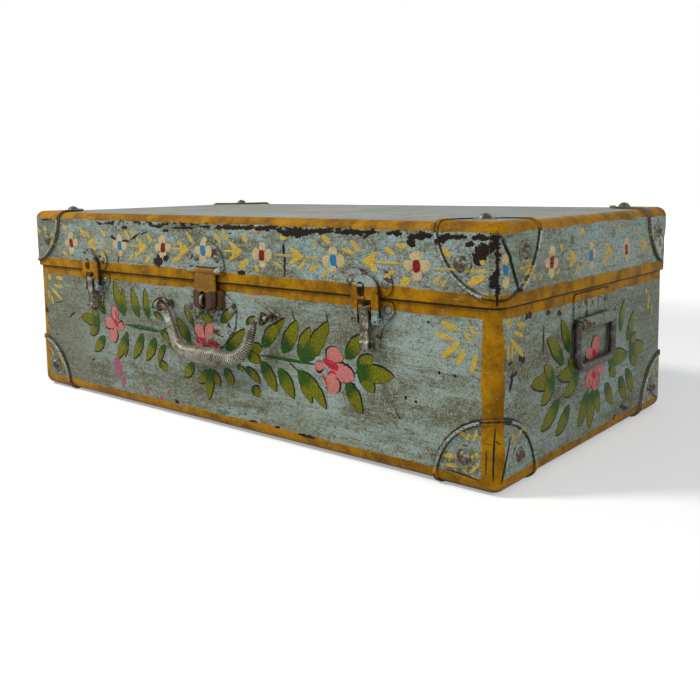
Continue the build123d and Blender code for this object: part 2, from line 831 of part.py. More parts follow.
def catch_claw(centre):
    """The claw: a hoop of sheet with a slot for the nose and two legs rolled round a pin."""
    with BuildPart() as claw:
        claw_plane = Plane(
            origin=(centre, claw_inner_y, claw_axis_height), x_dir=(1, 0, 0), z_dir=(0, -1, 0)
        )
        with BuildSketch(claw_plane):
            arch = claw_width / 2
            with Locations((0, claw_rise - arch)):
                Circle(arch)
            Rectangle(claw_width, claw_rise - arch, align=(Align.CENTER, Align.MIN))
            window_height = claw_rise - claw_bar_height - claw_slot_height - claw_window_bar
            Rectangle(
                2 * claw_leg_inner,
                window_height,
                align=(Align.CENTER, Align.MIN),
                mode=Mode.SUBTRACT,
            )
            slot_middle = claw_rise - claw_bar_height - claw_slot_height / 2
            with Locations((claw_slot_shift, slot_middle)):
                SlotOverall(claw_slot_height, claw_slot_width, rotation=90, mode=Mode.SUBTRACT)
        extrude(amount=claw_sheet)
        for start in (-claw_width / 2, claw_leg_inner):
            with BuildSketch(across(centre + start)):
                with Locations((lever_axis_y, claw_axis_height)):
                    Circle(claw_eye_radius)
            extrude(amount=claw_leg_width)
        pin_hole(centre, claw_width, lever_axis_y, claw_axis_height, catch_hole_radius)
    return claw.part


for hand, centre in zip(("left", "right"), catch_centres):
    lever_pin_length = 2 * (ear_outer + catch_pin_past)
    lever_pin = round_pin(
        centre, lever_pin_length, catch_pin_radius, lever_axis_y, lever_axis_height
    )
    claw_pin = round_pin(centre, claw_width, catch_pin_radius, lever_axis_y, claw_axis_height)
    save(catch_base(centre), f"catch_base_{hand}")
    save(catch_strike(centre), f"catch_strike_{hand}")
    save(catch_lever(centre), f"catch_lever_{hand}")
    save(catch_claw(centre), f"catch_claw_{hand}")
    save(lever_pin, f"catch_lever_pin_{hand}")
    save(claw_pin, f"catch_claw_pin_{hand}")


# ---- front handle -------------------------------------------------------------------
handle_axis_y = -(half_width + handle_axis_stand)
handle_foot = handle_axis_height - handle_drop
front_plane = Plane(
    origin=(front_handle_x, handle_axis_y, 0), x_dir=(1, 0, 0), z_dir=(0, -1, 0)
)
handle_points = [
    (-handle_pin_span / 2, handle_axis_height),
    (-handle_shoulder_span / 2, handle_axis_height),
    (-handle_grip_span / 2, handle_foot),
    (handle_grip_span / 2, handle_foot),
    (handle_shoulder_span / 2, handle_axis_height),
    (handle_pin_span / 2, handle_axis_height),
]
handle_grip_bends = [handle_left_bend_radius, handle_right_bend_radius]
handle_bends = [handle_shoulder_radius, *handle_grip_bends, handle_shoulder_radius]

with BuildPart() as handle_rod:
    with BuildLine(front_plane) as rod_path:
        FilletPolyline(*handle_points, radius=handle_bends)
    with BuildSketch(Plane(origin=rod_path.line @ 0, z_dir=rod_path.line % 0)):
        Circle(handle_rod_radius)
    sweep(path=rod_path.line)
save(handle_rod.part, "handle_rod")


def grip_radius(station):
    """The wound grip's radius at a station: thin at both ends, thick in the middle."""
    share = 1 - abs(2 * station - 1) / (1 - 2 * handle_winding_start)
    swell = share**2 * (3 - 2 * share)
    return handle_end_grip_radius + (handle_mid_grip_radius - handle_end_grip_radius) * swell


with BuildPart() as handle_winding:
    with BuildLine(front_plane) as grip_path:
        FilletPolyline(*handle_points[1:5], radius=handle_grip_bends)
    for first in (0, 4):
        for i in range(first, first + 5):
            station = handle_winding_start + i * (1 - 2 * handle_winding_start) / 8
            section = Plane(origin=grip_path.line @ station, z_dir=grip_path.line % station)
            with BuildSketch(section):
                Circle(grip_radius(station))
        loft()
    add(handle_rod.part, mode=Mode.SUBTRACT)
save(handle_winding.part, "handle_winding")

eye_radius = handle_rod_radius + eye_gap + eye_wire_radius
for hand, seat in zip(("left", "right"), eye_seats):
    with BuildPart() as eye:
        with BuildSketch(Plane(origin=seat.origin, z_dir=(0, 1, 0))):
            Circle(eye_foot_radius)
        extrude(amount=eye_foot_sheet)
        neck = handle_axis_stand - eye_foot_sheet - eye_radius
        with BuildSketch(seat):
            Circle(eye_neck_radius)
        extrude(amount=neck)
        with BuildSketch(seat):
            Circle(shank_radius)
        extrude(amount=-(eye_foot_sheet + tin))
        with BuildSketch(seat.offset(-(eye_foot_sheet + tin))):
            Circle(tail_radius)
        extrude(amount=-tail_height)
        ring_middle = Plane(
            origin=(seat.origin.X, handle_axis_y, handle_axis_height), z_dir=(1, 0, 0)
        )
        with Locations(ring_middle.location):
            Torus(eye_radius, eye_wire_radius)
    save(eye.part, f"handle_eye_{hand}")


# ---- end handles --------------------------------------------------------------------
end_knuckle_radius = end_rod_radius + end_running_clearance + end_plate_sheet
end_axis_stand = end_knuckle_radius
end_arm_half_span = end_knuckle_length / 2 + end_knuckle_gap + end_rod_radius
end_axis_x = half_length + end_axis_stand
end_foot = end_axis_height - end_drop


def along_end(y):
    """An upright plane along the right end at y: its x is the trunk's X, its y is Z."""
    return Plane(origin=(0, y, 0), x_dir=(1, 0, 0), z_dir=(0, -1, 0))


with BuildPart() as end_plate:
    plate_foot = end_axis_height + end_knuckle_radius
    with BuildSketch(wall("right", 0, end_handle_y, plate_foot)):
        Rectangle(
            end_plate_width, end_plate_top - plate_foot, align=(Align.CENTER, Align.MIN)
        )
        fillet(vertices().group_by(Axis.Y)[-1], end_plate_corner_radius)
    extrude(amount=end_plate_sheet)
    with BuildSketch(along_end(end_handle_y + end_knuckle_length / 2)):
        with Locations((half_length, end_axis_height)):
            Rectangle(
                end_plate_sheet, end_knuckle_radius, align=(Align.MIN, Align.MIN)
            )
        with Locations((end_axis_x, end_axis_height)):
            Circle(end_knuckle_radius)
    extrude(amount=end_knuckle_length)
    with BuildSketch(along_end(end_handle_y + end_knuckle_length / 2)):
        with Locations((end_axis_x, end_axis_height)):
            Circle(end_rod_radius + end_running_clearance)
    extrude(amount=end_knuckle_length, mode=Mode.SUBTRACT)
    rivet_holes(end_seats)

with BuildPart() as end_bail:
    bail_plane = Plane(origin=(end_axis_x, end_handle_y, 0), x_dir=(0, 1, 0), z_dir=(1, 0, 0))
    pin_end = end_knuckle_length / 2 - end_pin_length
    with BuildLine(bail_plane) as bail_path:
        FilletPolyline(
            (-pin_end, end_axis_height),
            (-end_arm_half_span, end_axis_height),
            (-end_arm_half_span, end_foot),
            (end_arm_half_span, end_foot),
            (end_arm_half_span, end_axis_height),
            (pin_end, end_axis_height),
            radius=[end_pin_bend_radius, end_bend_radius, end_bend_radius, end_pin_bend_radius],
        )
    with BuildSketch(Plane(origin=bail_path.line @ 0, z_dir=bail_path.line % 0)):
        Circle(end_rod_radius)
    sweep(path=bail_path.line)

for piece, name in ((end_plate.part, "end_plate"), (end_bail.part, "end_bail")):
    save(mirror(piece, about=Plane.YZ), f"{name}_left")
    save(piece, f"{name}_right")
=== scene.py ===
import math

import bmesh
import bpy
import mathutils
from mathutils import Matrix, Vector, noise
from mathutils.bvhtree import BVHTree


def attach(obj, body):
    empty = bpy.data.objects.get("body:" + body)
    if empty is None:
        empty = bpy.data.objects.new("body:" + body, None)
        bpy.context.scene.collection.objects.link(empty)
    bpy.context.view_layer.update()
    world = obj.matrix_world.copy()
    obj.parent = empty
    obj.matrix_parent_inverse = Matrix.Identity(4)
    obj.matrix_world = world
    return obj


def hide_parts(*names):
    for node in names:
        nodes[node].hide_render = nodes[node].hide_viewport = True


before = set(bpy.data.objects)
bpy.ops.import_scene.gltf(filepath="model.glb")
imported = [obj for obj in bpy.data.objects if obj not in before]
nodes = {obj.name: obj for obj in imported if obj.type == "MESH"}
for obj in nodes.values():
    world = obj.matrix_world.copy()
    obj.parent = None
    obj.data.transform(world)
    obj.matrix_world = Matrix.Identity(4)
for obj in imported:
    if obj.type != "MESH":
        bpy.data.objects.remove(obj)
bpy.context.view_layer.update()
mm = 0.001

# ---- Studio ----
# A white seamless floor, a pale world and three soft square lamps, and the camera at eye
# level in front of the trunk's front right corner. None of it is part of the trunk.
scene = bpy.context.scene
scene.view_settings.view_transform = "Standard"

EYE = Vector((448.2, -510.0, 172.8)) * mm
AZIMUTH = math.radians(39.81)
DOWN = math.radians(6.73)
ROLL = math.radians(-0.81)
SENSOR = 36.0
FOCAL_IN_WIDTHS = 852.7 / 700
DROP_IN_WIDTHS = -0.10
FLOOR_SIZE = 9.0
SKY_STRENGTH = 0.22
LAMP_TARGET = Vector((0, 0, 0.08))
camera_data = bpy.data.cameras.new("view")
camera_data.sensor_width = SENSOR
camera_data.lens = SENSOR * FOCAL_IN_WIDTHS
camera_data.shift_y = DROP_IN_WIDTHS
camera_data.clip_start = 0.01
camera = bpy.data.objects.new("view", camera_data)
ahead = Vector(
    (-math.sin(AZIMUTH) * math.cos(DOWN), math.cos(AZIMUTH) * math.cos(DOWN), -math.sin(DOWN))
)
level = Vector((math.cos(AZIMUTH), math.sin(AZIMUTH), 0.0))
upright = level.cross(ahead)
right = level * math.cos(ROLL) + upright * math.sin(ROLL)
top = upright * math.cos(ROLL) - level * math.sin(ROLL)
turn = camera.matrix_world.to_3x3()
for row in range(3):
    turn[row] = (right[row], top[row], -ahead[row])
camera.matrix_world = turn.to_4x4()
camera.location = EYE
scene.collection.objects.link(camera)
scene.camera = camera


class Wire:
    """One output of a node. Arithmetic on wires adds the nodes that work it out."""

    def __init__(self, tree, node, take=0):
        self.tree, self.node = tree, node
        self.socket = node.outputs[take] if len(node.outputs) else None

    def beside(self, take):
        """Another output of the same node."""
        return Wire(self.tree, self.node, take)

    def do(self, operation, other=0.0):
        """One sum of this value and another."""
        return put(self.tree, "ShaderNodeMath", {0: self, 1: other}, operation=operation)

    def __add__(self, other):
        return self.do("ADD", other)

    def __sub__(self, other):
        return self.do("SUBTRACT", other)

    def __rsub__(self, other):
        return put(self.tree, "ShaderNodeMath", {0: other, 1: self}, operation="SUBTRACT")

    def __mul__(self, other):
        return self.do("MULTIPLY", other)

    def __abs__(self):
        return self.do("ABSOLUTE")


def put(tree, kind, inputs=None, take=0, **settings):
    """Add a node, set its options, link or set each input, and give one output."""
    node = tree.nodes.new(kind)
    for name, value in settings.items():
        setattr(node, name, value)
    for name, value in (inputs or {}).items():
        if isinstance(value, Wire):
            tree.links.new(value.socket, node.inputs[name])
        else:
            node.inputs[name].default_value = value
    return Wire(tree, node, take)


def most(first, *others):
    """The greatest of several values."""
    for other in others:
        first = first.do("MAXIMUM", other)
    return first


def new_material(name):
    """An empty node material and its tree."""
    material = bpy.data.materials.new(name)
    material.use_nodes = True
    material.node_tree.nodes.clear()
    return material, material.node_tree


def plainly_seen(tree):
    """1 for rays that should find plain white: from the eye, in gloss and through glass."""
    rays = put(tree, "ShaderNodeLightPath", take="Is Camera Ray")
    return most(rays, rays.beside("Is Glossy Ray"), rays.beside("Is Transmission Ray"))


def studio_white(name, shade, near_lift, far_lift):
    """A matt white that the camera, gloss and glass see as plain white, but for the shadow."""
    material, tree = new_material(name)
    place = put(tree, "ShaderNodeTexCoord", take="Object")
    away = put(tree, "ShaderNodeVectorMath", {0: place}, take="Value", operation="LENGTH")
    lift = put(
        tree,
        "ShaderNodeMapRange",
        {"Value": away, "From Min": 0.45, "From Max": 1.1, "To Min": near_lift, "To Max": far_lift},
        interpolation_type="SMOOTHSTEP",
    )
    matt = put(tree, "ShaderNodeBsdfDiffuse", {"Color": (shade, shade, shade, 1)})
    glow = put(tree, "ShaderNodeEmission", {"Color": (1, 1, 1, 1), "Strength": lift})
    both = put(tree, "ShaderNodeAddShader", {0: matt, 1: glow})
    split = put(tree, "ShaderNodeMixShader", {0: plainly_seen(tree), 1: matt, 2: both})
    put(tree, "ShaderNodeOutputMaterial", {"Surface": split})
    return material


bpy.ops.mesh.primitive_plane_add(size=FLOOR_SIZE)
floor = bpy.context.object
floor.name = "floor"
floor.data.materials.append(studio_white("studio_floor", shade=0.8, near_lift=0.33, far_lift=1.0))

world = bpy.data.worlds.new("studio")
scene.world = world
world.use_nodes = True
sky = world.node_tree
sky.nodes.clear()
lit = put(sky, "ShaderNodeBackground", {"Color": (0.95, 0.98, 1, 1), "Strength": SKY_STRENGTH})
white = put(sky, "ShaderNodeBackground", {"Color": (1, 1, 1, 1), "Strength": 1.0})
either = put(sky, "ShaderNodeMixShader", {0: plainly_seen(sky), 1: lit, 2: white})
put(sky, "ShaderNodeOutputWorld", {"Surface": either})


def soft_lamp(name, place, size, power, colour):
    """A square lamp that looks at the trunk's middle."""
    data = bpy.data.lights.new(name, "AREA")
    data.size = size
    data.energy = power
    data.color = colour
    lamp = bpy.data.objects.new(name, data)
    lamp.location = place
    lamp.rotation_euler = (LAMP_TARGET - Vector(place)).to_track_quat("-Z", "Y").to_euler()
    scene.collection.objects.link(lamp)


soft_lamp("key", (-0.78, -0.94, 1.30), 0.32, 20.5, (1.0, 0.99, 0.97))
soft_lamp("front", (0.75, -1.30, 0.80), 0.8, 3.0, (1.0, 1.0, 1.0))
soft_lamp("side", (1.60, -0.55, 0.90), 0.9, 10, (0.98, 0.99, 1.0))

# ---- Tray and lid ----
# Two boxes of thin tinplate, brushed with a chalky grey-teal enamel in long level strokes
# over brown ground, then banded in ochre along every edge.
HALF_LENGTH = 225.0
HALF_WIDTH = 120.0
LID_GROWTH = 2.2
FOOT_HEIGHT = 1.6
TOP_HEIGHT = 149.0
MIDDLE_HEIGHT = 75.0
SEAM_HEIGHT = 104.0
CAP_REACH = 40.7
CORNER_BANDS = (214.6, 114.3)
CROWN_BANDS = (219.0, 112.5, 143.9)
SEAM_BAND = (97.3, 111.3)
FOOT_BAND = 10.0
UNDERSIDE = (212.0, 108.0, 0.6)
LID_EDGE_WEAR = 142.2
ENAMEL = (0.160, 0.180, 0.125, 1)
ENAMEL_PALE = (0.275, 0.340, 0.300, 1)
ENAMEL_BLUE = (0.275, 0.405, 0.415, 1)
ENAMEL_DULL = (0.110, 0.105, 0.058, 1)
STREAK_BROWN = (0.080, 0.055, 0.022, 1)
GRIT = (0.045, 0.042, 0.022, 1)
CHALK_AND_GLINT = (0.46, 0.50, 0.46, 1)
TOP_LIT_GREY = (0.300, 0.295, 0.280, 1)
OCHRE = (0.370, 0.175, 0.0015, 1)
OCHRE_DEEP = (0.165, 0.072, 0.0015, 1)
OCHRE_PALE_GLINT = (0.540, 0.300, 0.012, 1)
SHADE_DARK = (0.014, 0.011, 0.007, 1)
BARE = (0.012, 0.007, 0.005, 1)
RUST = (0.070, 0.030, 0.014, 1)
PLATE = (0.150, 0.140, 0.105, 1)
PLATE_BROWN = (0.070, 0.045, 0.026, 1)


def least(first, *others):
    """The smallest of several values."""
    for other in others:
        first = first.do("MINIMUM", other)
    return first


def between(value, low, high):
    """0 below low, 1 above high and smooth between; high may be below low."""
    ends = {"Value": value, "From Min": low, "From Max": high}
    return put(value.tree, "ShaderNodeMapRange", ends, interpolation_type="SMOOTHSTEP")


def blend(share, a, b):
    """Colour a where share is 0 and b where it is 1."""
    return put(share.tree, "ShaderNodeMix", {0: share, 6: a, 7: b}, take=2, data_type="RGBA")


def vector(operation, a, b):
    """One sum of two vectors."""
    return put(a.tree, "ShaderNodeVectorMath", {0: a, 1: b}, operation=operation)


def stretched(tree, direction, length):
    """A vector times a number."""
    return put(tree, "ShaderNodeVectorMath", {0: direction, "Scale": length}, operation="SCALE")


def parts(place):
    """The three numbers of a vector."""
    x = put(place.tree, "ShaderNodeSeparateXYZ", {0: place})
    return x, x.beside(1), x.beside(2)


def grain(place, stretch, detail=4.0, rough=0.6):
    """Noise in millimetre space, with the repeats per millimetre along each axis."""
    scaled = vector("MULTIPLY", place, stretch)
    settings = {"Vector": scaled, "Scale": 1.0, "Detail": detail, "Roughness": rough}
    return put(place.tree, "ShaderNodeTexNoise", settings, take="Fac")


def even_grain(place, repeats, detail=4.0, rough=0.7):
    """Noise with the same repeats per millimetre every way."""
    return grain(place, (repeats, repeats, repeats), detail, rough)


def in_millimetres(tree):
    """The trunk's own place of each point, in millimetres."""
    return stretched(tree, put(tree, "ShaderNodeTexCoord", take="Object"), 1000.0)


def occlusion_shade(tree, distance, low, high, samples=6):
    """Painted shade mask from occlusion: 1 deep in corners and under edges, 0 in the open."""
    options = {"Distance": distance * mm}
    shade = put(tree, "ShaderNodeAmbientOcclusion", options, take="AO", samples=samples)
    return between(shade, low, high)


def surface(material, tree, colour, rough, bump, **others):
    """End a material with one plain surface."""
    inputs = {"Base Color": colour, "Roughness": rough, "Normal": bump}
    inputs |= {name.replace("_", " "): value for name, value in others.items()}
    shader = put(tree, "ShaderNodeBsdfPrincipled", inputs)
    put(tree, "ShaderNodeOutputMaterial", {"Surface": shader})
    return material


def bumped(height, strength, distance, **others):
    """A bump, with its distance in millimetres."""
    inputs = {"Strength": strength, "Distance": distance * mm, "Height": height}
    return put(height.tree, "ShaderNodeBump", inputs | others)


def painted_tin(name, fitting=False):
    """The trunk's enamel with its ochre bands, streaks, grit, painted shade and flaking.

    A fitting has the same coat, without the lid's seam line and with rust coming through.
    """
    material, tree = new_material(name)
    place = in_millimetres(tree)
    x, y, z = parts(place)
    along, across = abs(x), abs(y)
    normal = put(tree, "ShaderNodeTexCoord", take="Normal")
    flat_top = between(parts(normal)[2], 0.6, 0.8)
    level_strokes = grain(place, (0.030, 0.030, 0.60), 5.0, 0.70)
    top_strokes = grain(place, (0.020, 0.45, 0.45), 5.0, 0.70)
    strokes = put(tree, "ShaderNodeMix", {0: flat_top, 2: level_strokes, 3: top_strokes})
    clouds = grain(place, (0.010, 0.012, 0.020), 4.0, 0.60)
    stains = grain(vector("ADD", place, (371, 91, 53)), (0.016, 0.016, 0.045), 5.0, 0.68)
    mottle = grain(place, (0.32, 0.32, 0.42), 6.0, 0.80)
    specks = grain(place, (0.75, 0.75, 0.95), 4.0, 0.75)
    cracks = grain(place, (0.045, 0.045, 1.3), 5.0, 0.72)

    # Enamel: teal-grey, bluer and chalkier in some places, browned and thin in others.
    # Painted light: paler towards the right, where more light falls; also paler higher up.
    paler = clouds + between(z, 50.0, 135.0) * 0.07 + between(x, -200.0, 40.0) * 0.11
    colour = blend(between(paler, 0.50, 0.76), ENAMEL, ENAMEL_PALE)
    colour = blend(between(stains, 0.47, 0.66), colour, ENAMEL_DULL)
    colour = blend(between(strokes, 0.53, 0.66) * 0.50, colour, ENAMEL_PALE)
    colour = blend(between(strokes, 0.47, 0.36) * 0.65, colour, ENAMEL_DULL)
    colour = blend(between(cracks, 0.57, 0.66) * 0.60, colour, STREAK_BROWN)
    colour = blend(between(mottle, 0.52, 0.61) * 0.60, colour, ENAMEL_PALE)
    # Painted shade: duller towards the left end, where less light falls.
    colour = blend(between(x, -70.0, -215.0) * 0.42, colour, ENAMEL_DULL)
    bluer = grain(place, (0.030, 0.030, 0.075), 5.0, 0.66) + between(z, 60.0, 135.0) * 0.05
    colour = blend(between(bluer, 0.55, 0.68) * 0.55, colour, ENAMEL_BLUE)
    pits = between(mottle, 0.47, 0.38) * 0.74
    colour = blend(pits, colour, STREAK_BROWN)
    colour = blend(between(specks, 0.46, 0.38) * 0.80, colour, GRIT)
    # Pale specks: chalky paint, partly painted glints.
    colour = blend(between(specks, 0.56, 0.63) * 0.58, colour, CHALK_AND_GLINT)

    # Painted light: the upward faces are blended half way to a paler grey, as the top catches more
    # light.
    colour = blend(flat_top * 0.50, colour, TOP_LIT_GREY)

    # Bands: how far a point is inside each one, in millimetres, with a hand-drawn edge.
    wobble = (even_grain(place, 0.045, 2.0, 0.6) - 0.5) * 4.0 + (mottle - 0.5) * 1.6
    upright_band = least(along - CORNER_BANDS[0], across - CORNER_BANDS[1], SEAM_HEIGHT - z)
    seam_band = least(z - SEAM_BAND[0], SEAM_BAND[1] - z)
    crown_edge = most(along - CROWN_BANDS[0], across - CROWN_BANDS[1])
    crown_band = least(z - CROWN_BANDS[2], crown_edge)
    inside = most(upright_band, FOOT_BAND - z, seam_band, crown_band)
    band = between(inside + wobble, -0.30, 0.30)
    ochre = blend(between(even_grain(place, 0.05, 5.0, 0.72), 0.62, 0.38), OCHRE, OCHRE_DEEP)
    # Pale flecks in the ochre: partly painted glints.
    ochre = blend(between(mottle, 0.54, 0.68) * 0.4, ochre, OCHRE_PALE_GLINT)
    ochre = blend(between(specks, 0.46, 0.34) * 0.75, ochre, OCHRE_DEEP)
    worn_band = between(grain(place, (0.06, 0.06, 0.6), 6.0, 0.72), 0.63, 0.67)
    band = band * (1.0 - worn_band)
    colour = blend(band, colour, ochre)

    # Painted shade: a dark line under the lid, one round each corner cap, one at the foot, and
    # darkening in recesses.
    painted_shade = occlusion_shade(tree, 6, 0.78, 0.35)
    if not fitting:
        frayed = (mottle - 0.5) * 2.4
        is_lid = between(z, SEAM_HEIGHT - 0.1, SEAM_HEIGHT + 0.1)
        grown = is_lid * LID_GROWTH
        from_corner = {
            0: along - HALF_LENGTH - grown,
            1: across - HALF_WIDTH - grown,
            2: z - (is_lid * (TOP_HEIGHT - FOOT_HEIGHT) + FOOT_HEIGHT),
        }
        from_corner = put(tree, "ShaderNodeCombineXYZ", from_corner)
        reach = put(
            tree, "ShaderNodeVectorMath", {0: from_corner}, take="Value", operation="LENGTH"
        )
        cap_shadow = between(band * 1.2 + (frayed + abs(reach - (CAP_REACH + 0.3))), 2.3, 1.5)
        cap_shadow = cap_shadow * (1.0 - flat_top)
        seam_shadow = between(abs(z - (SEAM_HEIGHT - 0.3)), 1.1, 0.5)
        foot_shadow = between(z + frayed, 2.9, 1.2)
        painted_shade = most(painted_shade, most(seam_shadow, cap_shadow), foot_shadow)
    colour = blend(painted_shade * 0.88, colour, SHADE_DARK)

    # Flaking: along the lid's front edge, at the corners, and down the lid's near corner.
    flakes = grain(place, (0.13, 0.13, 0.28), 6.0, 0.68)
    edge_line = between(abs(z - LID_EDGE_WEAR), 3.4, 0.8) * between(abs(x - 30.0), 230.0, 100.0)
    edge_line = edge_line * between(y, -119.0, -121.0)
    corner_wear = least(along - 221.5, across - 116.5)
    pull = most(edge_line * 0.19, between(corner_wear, -0.5, 3.0) * 0.10)
    chip = between(flakes + pull, 0.675, 0.69)
    turned = abs(x + y + (1.4 - (HALF_LENGTH - HALF_WIDTH)))
    strip = turned + (flakes - 0.5) * 22.0 + between(z, 132.0, 116.0) * 1.2
    strip = between(least(strip, turned + 0.9), 2.0, 1.7)
    near = between(least(x, (HALF_LENGTH - HALF_WIDTH) - y), 217.0, 218.0)
    strip = strip * near * (between(z, 104.6, 106.0) * between(z, 143.0, 141.0))
    chip = most(chip, strip)
    colour = blend(chip, colour, BARE)
    if fitting:
        rusty = grain(place, (0.11, 0.11, 0.16), 5.0, 0.65)
        colour = blend(between(rusty, 0.565, 0.60), colour, RUST)
    else:
        # Inside and underneath: the bare grey-brown plate, without bands.
        outwards = put(
            tree,
            "ShaderNodeVectorMath",
            {0: normal, 1: vector("SUBTRACT", place, (0, 0, MIDDLE_HEIGHT))},
            take="Value",
            operation="DOT_PRODUCT",
        )
        under = between(least(UNDERSIDE[0] - along, UNDERSIDE[1] - across), -1.0, 1.0)
        under = under * between(z, UNDERSIDE[2], UNDERSIDE[2] / 2)
        plate = blend(between(stains, 0.40, 0.62), PLATE, PLATE_BROWN)
        plate = blend(pits * 0.6, plate, RUST)
        colour = blend(most(between(outwards, -1.0, -4.0), under), colour, plate)

    relief = strokes * 0.4 + mottle * 0.6 - chip * 0.9 + band * 0.25
    bump = bumped(relief, 0.5, 0.4)
    return surface(material, tree, colour, mottle * 0.25 + 0.42, bump, Specular_IOR_Level=0.07)


def dress(names, material):
    """Give CAD nodes a material."""
    for name in names:
        mesh = nodes[name].data
        mesh.materials.clear()
        mesh.materials.append(material)


tin_paint = painted_tin("painted_tin")
dress(["base_tray", "lid_shell"], tin_paint)


# ---- Corner caps ----
# Eight pressed tin corners, painted over with the trunk. Each ends in a rolled bead that
# is worn to bright metal on its crest, and its rivets sit in pressed rings.
BEAD_RADIUS = 0.95
BEAD_STEPS = 44
BEAD_SIDES = 10
BEAD_START = 8
BEAD_SWEEP = 67
BEAD_LIFT = 0.15


def cap_name(kind, x_side, y_side):
    """The node of one corner cap."""
    return f"{kind}_cap_{'back' if y_side > 0 else 'front'}_{'right' if x_side > 0 else 'left'}"


sides = [(x_side, y_side) for x_side in (-1, 1) for y_side in (-1, 1)]
dress([cap_name(kind, *side) for kind in ("base", "lid") for side in sides], tin_paint)


def search_tree(names, extra=()):
    """One nearest-point and ray search over several pieces together."""
    places, faces = [], []
    for mesh in [nodes[name].data for name in names] + list(extra):
        first = len(places)
        places += [vertex.co.copy() for vertex in mesh.vertices]
        faces += [[first + i for i in polygon.vertices] for polygon in mesh.polygons]
    return BVHTree.FromPolygons(places, faces)


def bead_paths(kind, x_side, y_side):
    """The lines that a cap's bead follows on each of its two walls, clear of both ends."""
    skin = search_tree([cap_name(kind, x_side, y_side)])
    grow, edge, up = (LID_GROWTH, TOP_HEIGHT, -1) if kind == "lid" else (0.0, FOOT_HEIGHT, 1)
    corner = Vector((x_side * (HALF_LENGTH + grow), y_side * (HALF_WIDTH + grow), edge))
    front = [Vector((-x_side, 0, 0)), Vector((0, 0, up)), Vector((0, y_side, 0))]
    side = [Vector((0, -y_side, 0)), Vector((0, 0, up)), Vector((x_side, 0, 0))]
    paths = []
    for a, b, out in (front, side):
        path = []
        for step in range(BEAD_STEPS + 1):
            angle = math.radians(BEAD_START + BEAD_SWEEP * step / BEAD_STEPS)
            aim = corner + (a * math.cos(angle) + b * math.sin(angle)) * CAP_REACH
            found = skin.ray_cast((aim + out * 12) * mm, -out, 14 * mm)[0]
            if found and (found / mm).z > 2.0 and found.dot(out) > corner.dot(out) * mm + 0.0006:
                path.append(found / mm + out * BEAD_LIFT)
        paths.append(path)
    return paths


def line_mesh(name, paths, thickness=None):
    """Open lines, in millimetres, as loose edges, with a size at each point if given."""
    places, edges, sizes = [], [], []
    for number, path in enumerate(paths):
        first = len(places)
        places += [Vector(place) * mm for place in path]
        edges += [(first + i, first + i + 1) for i in range(len(path) - 1)]
        if thickness:
            sizes += [size * mm for size in thickness[number]]
    mesh = bpy.data.meshes.new(name)
    mesh.from_pydata(places, edges, [])
    if thickness:
        stored = mesh.attributes.new("thickness", "FLOAT", "POINT")
        stored.data.foreach_set("value", sizes)
    return mesh


def geometry_tree(name, **inputs):
    """An empty geometry tree with named inputs, and the wires that bring them in."""
    tree = bpy.data.node_groups.new(name, "GeometryNodeTree")
    sockets = tree.interface
    sockets.new_socket("Geometry", in_out="INPUT", socket_type="NodeSocketGeometry")
    for label, value in inputs.items():
        kind = "NodeSocketInt" if isinstance(value, int) else "NodeSocketFloat"
        sockets.new_socket(label, in_out="INPUT", socket_type=kind).default_value = value
    sockets.new_socket("Material", in_out="INPUT", socket_type="NodeSocketMaterial")
    sockets.new_socket("Geometry", in_out="OUTPUT", socket_type="NodeSocketGeometry")
    start = tree.nodes.new("NodeGroupInput")
    return tree, {label: Wire(tree, start, label) for label in ("Geometry", "Material", *inputs)}


def finish_tree(made, start):
    """Realise, shade smooth, give the material, and put out."""
    real = put(made.tree, "GeometryNodeRealizeInstances", {"Geometry": made})
    smooth = put(made.tree, "GeometryNodeSetShadeSmooth", {"Geometry": real})
    coated = {"Geometry": smooth, "Material": start["Material"]}
    put(made.tree, "NodeGroupOutput", {0: put(made.tree, "GeometryNodeSetMaterial", coated)})


def round_section(tree, resolution, radius):
    """A circle."""
    inputs = {"Resolution": resolution, "Radius": radius}
    return put(tree, "GeometryNodeCurvePrimitiveCircle", inputs)


def tube(curve, section, **others):
    """A curve thickened by a section."""
    inputs = {"Curve": curve, "Profile Curve": section}
    inputs |= {name.replace("_", " "): value for name, value in others.items()}
    return put(curve.tree, "GeometryNodeCurveToMesh", inputs)


def grow(name, mesh, tree, **values):
    """Run a geometry tree on a mesh and keep the result as one plain mesh."""
    piece = bpy.data.objects.new(name, mesh)
    scene.collection.objects.link(piece)
    modifier = piece.modifiers.new("grow", "NODES")
    modifier.node_group = tree
    for item in tree.interface.items_tree:
        if item.item_type == "SOCKET" and item.in_out == "INPUT" and item.name in values:
            modifier[item.identifier] = values[item.name]
    graph = bpy.context.evaluated_depsgraph_get()
    made = bpy.data.meshes.new_from_object(piece.evaluated_get(graph), depsgraph=graph)
    piece.modifiers.remove(modifier)
    piece.data = made
    bpy.data.meshes.remove(mesh)
    made.name = name
    return piece


bead_tree, start = geometry_tree("rolled_bead", radius=BEAD_RADIUS * mm, sides=BEAD_SIDES)
line = put(bead_tree, "GeometryNodeMeshToCurve", {"Mesh": start["Geometry"]})
section = round_section(bead_tree, start["sides"], start["radius"])
finish_tree(tube(line, section, Fill_Caps=True), start)


